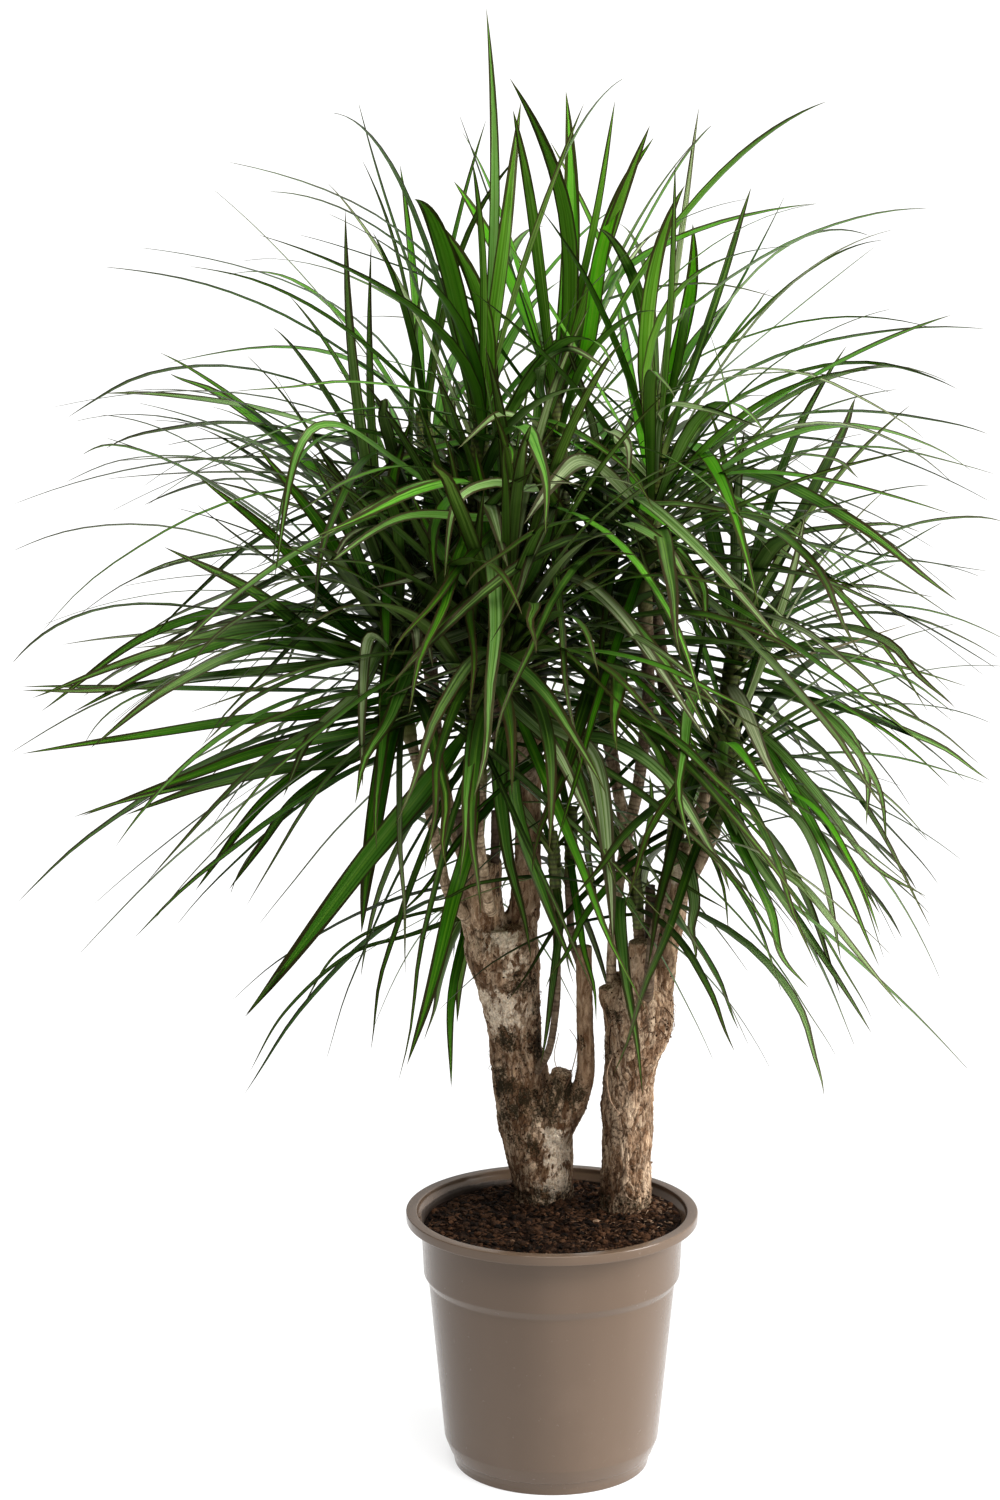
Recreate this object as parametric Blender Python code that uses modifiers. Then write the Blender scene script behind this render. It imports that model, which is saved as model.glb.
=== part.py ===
"""Potted dragon tree (Dracaena marginata) in a round nursery pot.

Two thick trunks, cut back by the grower, stand in the soil. Thin canes have sprouted from them, and each
cane ends in a head of long narrow leaves. Metres, +Z up, origin at the centre of the pot's base, and the
side that is seen first faces -Y.
"""
import math
from random import Random

import bmesh
import bpy
import numpy as np
from mathutils import Matrix, Vector
from mathutils.bvhtree import BVHTree

UP = Vector((0, 0, 1))
GAP = 0.0003                    # between pieces that touch

# pot
POT_HEIGHT = 0.2435
RIM_RADIUS = 0.135              # outside of the rolled rim
RIM_DEPTH = 0.009
MOUTH_RADIUS = 0.125
COLLAR_TOP = (0.1212, 0.2335)   # radius and height where the collar meets the rim
COLLAR_FOOT = (0.1188, 0.184)
BODY_TOP = (0.1143, 0.1768)
BODY_FOOT = (0.0998, 0.026)
FLOOR_EDGE = 0.0913             # where the flat floor inside ends
WALL = 0.0023
FLOOR = 0.0055
FOOT_RADIUS = 0.0905
CHANNEL = (0.059, 0.079)        # drainage channel under the base, from and to this radius
CHANNEL_DEPTH = 0.0025
DRAIN_HOLES = 6
DRAIN_RADIUS = 0.005
ROUND_SIDES = 36

# soil
SOIL_TOP = 0.2325               # at the middle of the pot
SOIL_TILT = 0.035               # it lies lower on the left
PEG_BOTTOM = 0.165              # how deep the trunks reach

# leaves
LEAF_WIDTH = 0.0145
LEAF_THICKNESS = 0.0014
LEAF_ROOT_WIDTH = 0.0068
FLAT_ANGLE = math.radians(0.8)
ARCHED_CUTS = (0.27, 0.55, 0.8)  # where an arched blade bends, as shares of its length
STRAIGHT_CUTS = (0.35, 0.72)
STRAIGHT_LIFT = 0.025           # a blade that rises less than this is cut as a straight one
CLEARANCE = 0.0010              # kept between leaves of different heads
GOLDEN_ANGLE = math.radians(137.508)
STEEPEST = 75                   # how steeply the youngest leaves stand, in degrees above level
LOWEST = -62                    # and how steeply the oldest can hang
LEAD_TRIES = 24                 # places tried for a leaf set by hand, and for one of the spiral
RULE_TRIES = 40
DEPTH_STEP = 0.011              # how far the tip of a leaf set by hand moves in depth at each try
STRICT_SHARE = 0.8              # share of the tries in which a leaf may not cross its own head's leaves
CROWN_MIDDLE = (-0.045, 0.020)  # the crown's upright axis
CROWN = [(0.33, 0.20), (0.40, 0.32), (0.50, 0.39), (0.60, 0.43), (0.70, 0.455), (0.80, 0.455), (0.90, 0.45),
         (1.00, 0.43), (1.10, 0.385), (1.20, 0.28), (1.27, 0.14), (1.33, 0.02)]   # height, radius

# Woody limbs: points (x, y, z, radius) from the lowest up. The first two of a trunk are its buried peg.
TRUNK_LEFT = [
    (-0.007, 0.055, PEG_BOTTOM, 0.0272), (-0.007, 0.055, 0.244, 0.0272), (-0.010, 0.055, 0.272, 0.0310),
    (-0.015, 0.055, 0.303, 0.0330), (-0.026, 0.055, 0.340, 0.0275), (-0.033, 0.053, 0.380, 0.0250),
    (-0.036, 0.050, 0.415, 0.0255), (-0.041, 0.047, 0.450, 0.0300), (-0.047, 0.044, 0.485, 0.0340),
    (-0.049, 0.043, 0.505, 0.0300)]
TRUNK_RIGHT = [
    (0.069, 0.025, PEG_BOTTOM, 0.0240), (0.069, 0.025, 0.244, 0.0240), (0.070, 0.024, 0.290, 0.0232),
    (0.070, 0.022, 0.345, 0.0235), (0.074, 0.018, 0.385, 0.0255), (0.079, 0.015, 0.415, 0.0320),
    (0.079, 0.012, 0.443, 0.0315), (0.081, 0.010, 0.458, 0.0250)]
LIMBS_LEFT = {
    "left_fork": [(-0.050, 0.045, 0.460, 0.022), (-0.062, 0.038, 0.505, 0.0205),
                  (-0.065, 0.033, 0.535, 0.0188), (-0.065, 0.030, 0.568, 0.0182)],
    "right_fork": [(-0.040, 0.048, 0.455, 0.022), (-0.029, 0.045, 0.505, 0.0155),
                   (-0.023, 0.042, 0.556, 0.0128), (-0.022, 0.040, 0.627, 0.0115),
                   (-0.018, 0.040, 0.700, 0.0108)],
    "side_branch": [(-0.005, 0.045, 0.300, 0.021), (0.010, 0.036, 0.322, 0.0165),
                    (0.024, 0.028, 0.343, 0.0105), (0.031, 0.022, 0.368, 0.0084),
                    (0.030, 0.020, 0.430, 0.0078), (0.029, 0.020, 0.489, 0.0078)],
    "side_stub": [(-0.002, 0.036, 0.325, 0.014), (0.006, 0.030, 0.352, 0.0110),
                  (0.010, 0.028, 0.368, 0.0095)],
    "dead_cane": [(-0.054, 0.030, 0.515, 0.006), (-0.053, 0.022, 0.560, 0.0042),
                  (-0.052, 0.022, 0.615, 0.0040)],
    "dead_spur": [(-0.075, 0.030, 0.555, 0.006), (-0.083, 0.026, 0.590, 0.0042),
                  (-0.086, 0.025, 0.615, 0.0038)],
}
LIMBS_RIGHT = {
    "middle_fork": [(0.080, 0.004, 0.420, 0.020), (0.081, -0.004, 0.455, 0.0130),
                    (0.081, -0.006, 0.500, 0.0122)],
    "right_fork": [(0.088, 0.014, 0.430, 0.020), (0.103, 0.012, 0.484, 0.0120),
                   (0.109, 0.011, 0.520, 0.0130), (0.115, 0.010, 0.572, 0.0125)],
    "left_stub": [(0.064, 0.012, 0.425, 0.013), (0.054, 0.009, 0.440, 0.0105),
                  (0.051, 0.008, 0.454, 0.0095)],
    "dark_stub": [(0.092, 0.012, 0.470, 0.008), (0.090, 0.010, 0.510, 0.0058),
                  (0.089, 0.010, 0.548, 0.0046)],
    "knob": [(0.090, 0.014, 0.418, 0.016), (0.103, 0.012, 0.420, 0.0120), (0.109, 0.011, 0.421, 0.0070)],
}


class Head:
    """A head of leaves: the foot and top of its leafy stem, its leaf count, their length and lowest angle,
    the route of the cane that carries it, and its longest leaves by hand."""

    def __init__(self, foot, top, leaves, length, lowest, trunk, cane, leads):
        self.foot, self.top = Vector(foot), Vector(top)
        self.leaves, self.length, self.lowest = leaves, length, lowest
        self.trunk, self.cane, self.leads = trunk, cane, leads
        small = self.length < 0.25
        self.radius = 0.0065 if small else 0.0095

    def axis(self):
        return (self.top - self.foot).normalized()


# Leading leaves: how far up the leafy stem the leaf starts, where its tip is (x, y, z), how far the
# middle of the leaf stands above the straight line to the tip, and how far it is pushed aside along X.
HEADS = {
    "leaves_top": Head(
        (0.008, 0.020, 0.885), (0.000, 0.020, 1.000), 31, 0.38, -30, "left",
        [(-0.019, 0.040, 0.675, 0.0100), (-0.012, 0.035, 0.745, 0.0078), (0.001, 0.026, 0.820, 0.0070)],
        [(0.90, (-0.04, -0.06, 1.27), 0.01, 0.03), (0.95, (0.01, 0.06, 1.26), -0.01, 0.01),
         (0.85, (0.08, -0.06, 1.23), 0.01, 0.0), (0.80, (0.14, 0.05, 1.23), 0.04, 0.01),
         (0.70, (0.23, -0.08, 1.25), 0.05, 0.0), (0.90, (-0.09, 0.08, 1.18), 0.02, 0.0),
         (0.50, (0.24, 0.10, 1.16), 0.04, -0.07), (0.55, (0.32, -0.06, 1.16), 0.05, 0.0),
         (0.20, (0.20, -0.20, 0.79), 0.05, -0.02), (0.10, (0.13, -0.17, 0.81), 0.02, 0.03),
         (0.15, (-0.10, -0.18, 0.85), 0.04, -0.04)]),
    "leaves_top_left": Head(
        (-0.070, -0.015, 0.865), (-0.065, -0.030, 0.975), 32, 0.38, -35, "left",
        [(-0.030, 0.036, 0.600, 0.0060), (-0.047, 0.012, 0.660, 0.0048), (-0.056, 0.006, 0.740, 0.0052),
         (-0.068, -0.002, 0.815, 0.0060)],
        [(0.95, (-0.06, -0.02, 1.33), 0.0, 0.01), (0.85, (-0.03, -0.08, 1.25), 0.0, 0.0),
         (0.90, (0.06, 0.00, 1.27), 0.06, 0.0), (0.80, (-0.19, -0.08, 1.24), 0.07, 0.0),
         (0.70, (-0.28, -0.10, 1.20), 0.04, 0.07), (0.75, (-0.19, -0.20, 1.16), 0.02, 0.04),
         (0.60, (-0.25, -0.16, 1.14), 0.02, 0.06), (0.55, (-0.39, -0.06, 1.11), 0.04, 0.01),
         (0.90, (-0.12, -0.16, 1.17), 0.05, 0.0), (0.90, (-0.10, -0.10, 1.15), 0.01, 0.02),
         (0.50, (0.05, -0.24, 1.03), 0.07, 0.01), (0.20, (-0.20, -0.22, 0.89), 0.05, 0.05),
         (0.10, (-0.20, -0.16, 0.86), 0.03, 0.0), (0.40, (-0.24, -0.18, 0.85), 0.09, -0.04)]),
    "leaves_back_left": Head(
        (-0.105, 0.100, 0.870), (-0.120, 0.120, 0.970), 22, 0.37, -30, "left",
        [(-0.024, 0.046, 0.640, 0.0090), (-0.050, 0.070, 0.715, 0.0065), (-0.084, 0.088, 0.800, 0.0065)],
        [(0.70, (-0.38, 0.12, 1.12), 0.03, 0.06), (0.50, (-0.36, 0.18, 1.01), 0.05, 0.05),
         (0.45, (-0.41, 0.08, 0.99), 0.02, 0.0), (0.30, (-0.41, 0.10, 0.91), 0.01, 0.0)]),
    "leaves_right": Head(
        (0.081, -0.028, 0.835), (0.090, -0.040, 0.940), 29, 0.36, -35, "right",
        [(0.054, 0.012, 0.445, 0.0050), (0.055, 0.014, 0.495, 0.0046), (0.064, 0.030, 0.565, 0.0050),
         (0.079, 0.036, 0.640, 0.0056), (0.086, 0.026, 0.710, 0.0058), (0.083, -0.010, 0.785, 0.0062)],
        [(0.90, (0.11, -0.08, 1.18), 0.02, -0.02), (0.80, (0.20, -0.12, 1.13), 0.05, -0.05),
         (0.70, (0.34, -0.08, 1.07), 0.02, 0.0), (0.60, (0.26, -0.18, 1.03), 0.03, 0.0),
         (0.55, (0.29, -0.12, 1.01), 0.02, 0.0), (0.45, (0.35, -0.04, 0.92), 0.07, 0.0),
         (0.30, (0.34, -0.10, 0.90), 0.05, -0.06), (0.50, (0.17, -0.24, 0.98), 0.06, 0.0)]),
    "leaves_back_right": Head(
        (0.087, 0.110, 0.880), (0.100, 0.125, 0.980), 24, 0.37, -30, "right",
        [(0.113, 0.012, 0.545, 0.0085), (0.112, 0.055, 0.640, 0.0070), (0.098, 0.095, 0.770, 0.0066)],
        [(0.90, (0.13, 0.16, 1.14), 0.0, 0.01), (0.80, (0.29, 0.12, 1.13), 0.06, 0.0),
         (0.70, (0.30, 0.16, 1.12), -0.02, -0.03), (0.60, (0.39, 0.06, 1.05), 0.03, -0.03),
         (0.85, (0.17, 0.20, 1.07), 0.0, -0.01), (0.50, (0.40, 0.10, 0.95), 0.03, 0.0),
         (0.20, (0.40, 0.06, 0.83), 0.0, -0.07)]),
    "leaves_front": Head(
        (-0.035, -0.030, 0.705), (-0.045, -0.060, 0.815), 38, 0.38, -55, "left",
        [(-0.021, 0.036, 0.640, 0.0090), (-0.027, 0.012, 0.668, 0.0080), (-0.032, -0.014, 0.684, 0.0080)],
        [(0.30, (-0.48, -0.08, 0.69), 0.0, 0.0), (0.10, (-0.02, -0.12, 0.51), 0.04, -0.02),
         (0.15, (0.02, -0.08, 0.49), 0.01, -0.02), (0.60, (0.05, -0.20, 0.59), 0.03, 0.0),
         (0.80, (0.13, -0.22, 0.72), 0.07, 0.0)]),
    "leaves_front_low": Head(
        (-0.067, -0.030, 0.665), (-0.074, -0.050, 0.765), 28, 0.36, -60, "left",
        [(-0.056, 0.028, 0.515, 0.0065), (-0.060, -0.002, 0.545, 0.0052), (-0.067, -0.024, 0.605, 0.0047)],
        [(0.60, (-0.42, -0.12, 0.64), 0.0, 0.01), (0.40, (-0.37, -0.12, 0.53), 0.03, 0.0),
         (0.20, (-0.29, -0.04, 0.55), 0.03, -0.03), (0.10, (-0.27, -0.16, 0.47), 0.01, 0.0),
         (0.05, (-0.13, -0.12, 0.41), 0.01, 0.0)]),
    "leaves_left": Head(
        (-0.131, 0.000, 0.700), (-0.145, 0.000, 0.810), 32, 0.38, -45, "left",
        [(-0.072, 0.030, 0.505, 0.0065), (-0.096, 0.008, 0.545, 0.0052), (-0.111, 0.000, 0.615, 0.0048),
         (-0.125, 0.000, 0.672, 0.0050)],
        [(0.90, (-0.18, -0.08, 1.16), 0.0, -0.01), (0.95, (-0.16, -0.02, 1.13), 0.0, -0.01),
         (0.80, (-0.41, -0.08, 0.95), 0.06, -0.04), (0.70, (-0.31, -0.10, 0.91), -0.03, 0.03),
         (0.60, (-0.48, -0.03, 0.86), 0.06, 0.0), (0.40, (-0.49, 0.02, 0.75), 0.06, -0.04),
         (0.30, (-0.41, -0.10, 0.70), 0.03, -0.05), (0.25, (-0.49, 0.08, 0.72), 0.0, 0.0),
         (0.10, (-0.48, -0.06, 0.55), 0.04, 0.0), (0.05, (-0.44, 0.06, 0.47), 0.03, 0.0)]),
    "leaves_left_back": Head(
        (-0.115, 0.062, 0.770), (-0.130, 0.075, 0.870), 24, 0.36, -40, "left",
        [(-0.074, 0.038, 0.550, 0.0065), (-0.090, 0.052, 0.590, 0.0055), (-0.104, 0.056, 0.660, 0.0056)],
        [(0.80, (-0.38, 0.10, 0.98), 0.02, 0.0), (0.60, (-0.38, 0.14, 0.88), 0.05, 0.0),
         (0.50, (-0.39, 0.06, 0.82), 0.03, 0.0), (0.30, (-0.46, 0.14, 0.75), 0.0, 0.0)]),
    "leaves_right_back": Head(
        (0.155, 0.040, 0.690), (0.172, 0.046, 0.790), 30, 0.35, -45, "right",
        [(0.116, 0.014, 0.555, 0.0075), (0.132, 0.030, 0.600, 0.0062), (0.146, 0.037, 0.650, 0.0062)],
        [(0.80, (0.35, 0.02, 0.88), 0.0, 0.0), (0.90, (0.32, 0.12, 0.83), -0.02, -0.03),
         (0.70, (0.31, -0.06, 0.80), -0.02, -0.03), (0.50, (0.37, 0.06, 0.70), 0.03, 0.0),
         (0.40, (0.37, -0.02, 0.65), 0.03, 0.0), (0.30, (0.27, -0.12, 0.63), 0.03, 0.04)]),
    "leaves_right_low": Head(
        (0.145, -0.010, 0.610), (0.162, -0.015, 0.700), 27, 0.33, -58, "right",
        [(0.113, 0.006, 0.530, 0.0070), (0.128, -0.004, 0.562, 0.0056)],
        [(0.60, (0.35, 0.00, 0.55), 0.04, 0.0), (0.50, (0.33, -0.08, 0.61), 0.04, 0.0),
         (0.40, (0.33, 0.08, 0.48), 0.03, 0.0), (0.30, (0.35, -0.04, 0.47), 0.05, 0.01),
         (0.20, (0.27, -0.08, 0.42), 0.02, 0.0), (0.15, (0.27, 0.06, 0.43), 0.05, 0.0)]),
    "leaves_middle": Head(
        (0.050, 0.060, 0.700), (0.050, 0.072, 0.800), 22, 0.34, -50, "right",
        [(0.084, 0.018, 0.465, 0.0070), (0.076, 0.042, 0.540, 0.0056), (0.060, 0.055, 0.630, 0.0056)], []),
    "sprout_right": Head(
        (0.104, -0.030, 0.578), (0.112, -0.037, 0.645), 12, 0.24, -50, "right",
        [(0.085, -0.004, 0.440, 0.0065), (0.087, -0.028, 0.470, 0.0050), (0.090, -0.032, 0.510, 0.0048),
         (0.099, -0.031, 0.548, 0.0048)],
        [(0.50, (0.37, -0.08, 0.40), 0.02, 0.0), (0.30, (0.20, -0.12, 0.48), 0.04, 0.0),
         (0.20, (0.12, -0.09, 0.50), 0.02, 0.01)]),
    "sprout_middle": Head(
        (0.078, -0.010, 0.513), (0.074, -0.018, 0.565), 11, 0.22, -55, "right", [],
        [(0.70, (0.24, -0.08, 0.37), 0.02, 0.04), (0.50, (0.17, -0.12, 0.41), 0.02, 0.0),
         (0.20, (0.08, -0.10, 0.38), 0.08, -0.02)]),
    "sprout_back": Head(
        (-0.070, 0.088, 0.505), (-0.086, 0.100, 0.575), 12, 0.23, -60, "left",
        [(-0.047, 0.058, 0.440, 0.0080), (-0.060, 0.078, 0.472, 0.0062)],
        [(0.30, (-0.29, 0.08, 0.33), 0.04, 0.0), (0.20, (-0.17, 0.12, 0.38), 0.03, 0.0),
         (0.10, (-0.12, 0.16, 0.36), 0.02, 0.0), (0.10, (-0.09, 0.13, 0.38), 0.02, 0.0)]),
    "sprout_thin": Head(
        (0.003, 0.004, 0.540), (0.000, 0.002, 0.600), 9, 0.20, -45, "left",
        [(-0.014, 0.036, 0.365, 0.0045), (-0.002, 0.022, 0.392, 0.0036), (0.004, 0.016, 0.440, 0.0036),
         (0.004, 0.010, 0.490, 0.0036)], []),
    "sprout_twig": Head(
        (0.016, 0.024, 0.562), (0.018, 0.026, 0.618), 8, 0.20, -40, "left",
        [(0.028, 0.020, 0.465, 0.0040), (0.019, 0.022, 0.490, 0.0036), (0.016, 0.023, 0.520, 0.0036)], []),
}


def material(name, colour, roughness):
    mat = bpy.data.materials.new(name)
    mat.use_nodes = True
    shader = mat.node_tree.nodes["Principled BSDF"]
    shader.inputs["Base Color"].default_value = (*colour, 1)
    shader.inputs["Roughness"].default_value = roughness
    shader.inputs["Metallic"].default_value = 0.0
    return mat


def collection(name):
    group = bpy.data.collections.new(name)
    bpy.context.scene.collection.children.link(group)
    return group


def add_object(name, data, group, mat=None):
    obj = bpy.data.objects.new(name, data)
    group.objects.link(obj)
    if mat:
        data.materials.append(mat)
    return obj


def make_cutter(obj):
    obj.hide_render = True
    obj.display_type = "WIRE"


def boolean(obj, operation, tool=None, group=None, solver="EXACT"):
    """adds a Boolean with one object or with a collection"""
    mod = obj.modifiers.new("cut", "BOOLEAN")
    mod.operation = operation
    mod.solver = solver
    if group:
        mod.operand_type = "COLLECTION"
        mod.collection = group
    else:
        mod.object = tool
    return mod


def bake(obj):
    """applies an object's modifiers, or turns a curve into a welded mesh"""
    bpy.context.view_layer.update()
    graph = bpy.context.evaluated_depsgraph_get()
    mesh = bpy.data.meshes.new_from_object(obj.evaluated_get(graph))
    mesh.name = obj.name
    if obj.type == "CURVE":
        bm = bmesh.new()
        bm.from_mesh(mesh)
        bmesh.ops.remove_doubles(bm, verts=bm.verts, dist=0.00001)
        bm.to_mesh(mesh)
        bm.free()
        baked = bpy.data.objects.new(obj.name, mesh)
        baked.matrix_world = obj.matrix_world.copy()
        for group in obj.users_collection:
            group.objects.link(baked)
        bpy.data.objects.remove(obj)
        return baked
    obj.modifiers.clear()
    obj.data = mesh
    return obj


def fuse(name, base, pieces, group, mat, solver="EXACT"):
    """joins the pieces to the base in one solid"""
    temporary = collection(name + "_pieces")
    for piece in pieces:
        for owner in piece.users_collection:
            owner.objects.unlink(piece)
        temporary.objects.link(piece)
    boolean(base, "UNION", group=temporary, solver=solver)
    solid = bake(base)
    for piece in pieces:
        bpy.data.objects.remove(piece)
    bpy.data.collections.remove(temporary)
    solid.name = name
    for owner in solid.users_collection:
        owner.objects.unlink(solid)
    group.objects.link(solid)
    merge_flat_faces(solid.data)
    solid.data.materials.clear()
    solid.data.materials.append(mat)
    return solid


def merge_flat_faces(mesh):
    """takes out the points and edges that a union leaves in flat faces, if the solid stays closed"""
    bm = bmesh.new()
    bm.from_mesh(mesh)
    bmesh.ops.dissolve_limit(bm, angle_limit=FLAT_ANGLE, verts=bm.verts, edges=bm.edges)
    bmesh.ops.triangulate(bm, faces=bm.faces)
    if all(edge.is_manifold for edge in bm.edges):
        bm.to_mesh(mesh)
    bm.free()


def smooth_route(points, step):
    """points (x, y, z, radius) on a smooth curve through the given ones"""
    knots = [np.array(p) for p in points]
    knots = [2 * knots[0] - knots[1]] + knots + [2 * knots[-1] - knots[-2]]
    route = []
    for a, b, c, d in zip(knots, knots[1:], knots[2:], knots[3:]):
        count = max(1, round(np.linalg.norm((c - b)[:3]) / step))
        for i in range(count):
            t = i / count
            route.append(0.5 * (2 * b + (c - a) * t + (2 * a - 5 * b + 4 * c - d) * t ** 2
                                + (3 * b - a - 3 * c + d) * t ** 3))
    route.append(knots[-2])
    return route


def tube(name, route, sides, group):
    """a solid tube along points (x, y, z, radius)"""
    curve = bpy.data.curves.new(name, "CURVE")
    curve.dimensions = "3D"
    curve.bevel_depth = 1.0
    curve.bevel_resolution = sides // 2 - 2
    curve.use_fill_caps = True
    spline = curve.splines.new("POLY")
    spline.points.add(len(route) - 1)
    for point, (x, y, z, radius) in zip(spline.points, route):
        point.co = (x, y, z, 1)
        point.radius = radius
    return bake(add_object(name, curve, group))


def turned(name, profile, group, mat):
    """a profile of (radius, height) points, turned about Z"""
    mesh = bpy.data.meshes.new(name)
    mesh.from_pydata([(r, 0, z) for r, z in profile], [(i, i + 1) for i in range(len(profile) - 1)], [])
    obj = add_object(name, mesh, group, mat)
    screw = obj.modifiers.new("turn", "SCREW")
    screw.steps = screw.render_steps = ROUND_SIDES
    screw.use_merge_vertices = True
    screw.merge_threshold = 0.0001
    return obj


def inner_radius(z):
    """inside radius of the pot's wall at a height"""
    rings = [(BODY_FOOT[1], BODY_FOOT[0]), (BODY_TOP[1], BODY_TOP[0]), (COLLAR_FOOT[1], COLLAR_FOOT[0]),
             (COLLAR_TOP[1], COLLAR_TOP[0])]
    heights, radii = zip(*rings)
    return float(np.interp(z, heights, radii)) - WALL


def make_pot(group, cutters):
    """a thin pot with a rolled rim, a collar, a foot ring and drain holes in a channel under its base"""
    channel_in, channel_out = CHANNEL
    inside = [(r - WALL, z) for r, z in (BODY_FOOT, BODY_TOP, COLLAR_FOOT, COLLAR_TOP)]
    profile = [(0, FLOOR), (FLOOR_EDGE, FLOOR), *inside,
               (MOUTH_RADIUS - 0.0005, POT_HEIGHT - 0.004), (MOUTH_RADIUS, POT_HEIGHT),
               (RIM_RADIUS, POT_HEIGHT), (RIM_RADIUS - 0.0002, POT_HEIGHT - RIM_DEPTH), COLLAR_TOP,
               COLLAR_FOOT, BODY_TOP, BODY_FOOT, (0.0945, 0.0125), (0.0925, 0.0115), (FOOT_RADIUS, 0),
               (channel_out + 0.001, 0), (channel_out, CHANNEL_DEPTH), (channel_in, CHANNEL_DEPTH),
               (channel_in - 0.001, 0), (0, 0)]
    pot = turned("pot", profile, group, material("taupe_plastic", (0.235, 0.185, 0.150), 0.38))
    middle = (channel_in + channel_out) / 2
    for k in range(DRAIN_HOLES):
        angle = math.tau * (k + 0.3) / DRAIN_HOLES
        bpy.ops.mesh.primitive_cylinder_add(vertices=8, radius=DRAIN_RADIUS, depth=4 * FLOOR)
        hole = bpy.context.active_object
        hole.name = "drain_hole_%d" % k
        hole.location = (middle * math.cos(angle), middle * math.sin(angle), 0)
        for owner in hole.users_collection:
            owner.objects.unlink(hole)
        cutters.objects.link(hole)
        make_cutter(hole)
        boolean(pot, "DIFFERENCE", hole)
    return pot


def soil_height(x, y):
    """height of the soil's surface: a shallow mound, lower on the left, with soft lumps"""
    r = math.hypot(x, y) / MOUTH_RADIUS
    lumps = 0.0012 * math.sin(70 * x + 1.0) * math.cos(60 * y - 0.5)
    return SOIL_TOP + 0.003 * (1 - r * r) + SOIL_TILT * x + lumps


def make_soil(group, cutters):
    """the soil that fills the pot, with a plain hole for each trunk"""
    edge = inner_radius(SOIL_TOP) - GAP
    wall = [(r - WALL - GAP, z) for r, z in (COLLAR_FOOT, BODY_TOP, BODY_FOOT)]
    profile = [(0, SOIL_TOP), (0.045, SOIL_TOP), (0.085, SOIL_TOP), (edge, SOIL_TOP), *wall,
               (FLOOR_EDGE - GAP, FLOOR + GAP), (0, FLOOR + GAP)]
    soil = bake(turned("soil", profile, group, material("peat_soil", (0.060, 0.035, 0.022), 0.95)))
    for vertex in soil.data.vertices:
        x, y, z = vertex.co
        if z > SOIL_TOP - 0.001:
            r = math.hypot(x, y)
            vertex.co.z = soil_height(x, y)
            if r > edge - 0.001:
                shrink = (inner_radius(vertex.co.z) - GAP) / r
                vertex.co.x, vertex.co.y = x * shrink, y * shrink
    for name, trunk in (("left", TRUNK_LEFT), ("right", TRUNK_RIGHT)):
        x, y, z, radius = trunk[0]
        hole = tube(name + "_hole", [(x, y, z - GAP, radius + GAP), (x, y, POT_HEIGHT + 0.01, radius + GAP)],
                    12, cutters)
        make_cutter(hole)
        boolean(soil, "DIFFERENCE", hole)
    return soil


def cane_route(head):
    """the cane's points, with a straight end that meets the head's leafy stem face to face"""
    axis, end = head.axis(), head.foot - head.axis() * GAP
    radius = head.radius * 0.75
    straight = [(*(end - axis * 0.012), radius), (*end, radius)]
    return smooth_route([*head.cane, straight[0]], 0.05)[:-1] + straight


def make_trunk(name, trunk, limbs, side, group, mat):
    """one trunk with its forks, stubs and canes, all one piece of wood"""
    body = tube(name, [trunk[0]] + smooth_route(trunk[1:], 0.036), 12, group)
    pieces = [tube(limb, smooth_route(points, 0.045), 8, group) for limb, points in limbs.items()]
    for key, head in HEADS.items():
        if head.trunk == side and head.cane:
            pieces.append(tube(key + "_cane", cane_route(head), 6, group))
    return fuse(name, body, pieces, group, mat)


def leafy_stem(name, head, group):
    """the slim stem inside a head, which the leaves stand out of"""
    shape = [(0, 0.90), (0.65, 1.05), (1.0, 0.70)]
    route = [(*head.foot.lerp(head.top, s), head.radius * r) for s, r in shape]
    return tube(name, route, 6, group)


def blade_blank(cuts):
    """a leaf before it is bent: a three-sided cone one unit long, cut across where it will bend"""
    bm = bmesh.new()
    bmesh.ops.create_cone(bm, cap_ends=True, segments=3, radius1=1, radius2=0, depth=1)
    bmesh.ops.translate(bm, verts=bm.verts, vec=(0, 0, 0.5))
    bmesh.ops.remove_doubles(bm, verts=bm.verts, dist=0.0001)
    for cut in cuts:
        bmesh.ops.bisect_plane(bm, geom=bm.verts[:] + bm.edges[:] + bm.faces[:], dist=0.00001,
                               plane_co=(0, 0, cut), plane_no=(0, 0, 1))
    bmesh.ops.triangulate(bm, faces=bm.faces)
    bmesh.ops.recalc_face_normals(bm, faces=bm.faces)
    mesh = bpy.data.meshes.new("blade_blank")
    bm.to_mesh(mesh)
    bm.free()
    return Blank(mesh)


class Blank:
    """an unbent blade's mesh, with its points and faces as lists"""

    def __init__(self, mesh):
        self.mesh = mesh
        self.points = [tuple(v.co) for v in mesh.vertices]
        self.faces = [tuple(p.vertices) for p in mesh.polygons]
        self.outer = [f for f in self.faces if min(self.points[i][2] for i in f) > 0.05]


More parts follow.
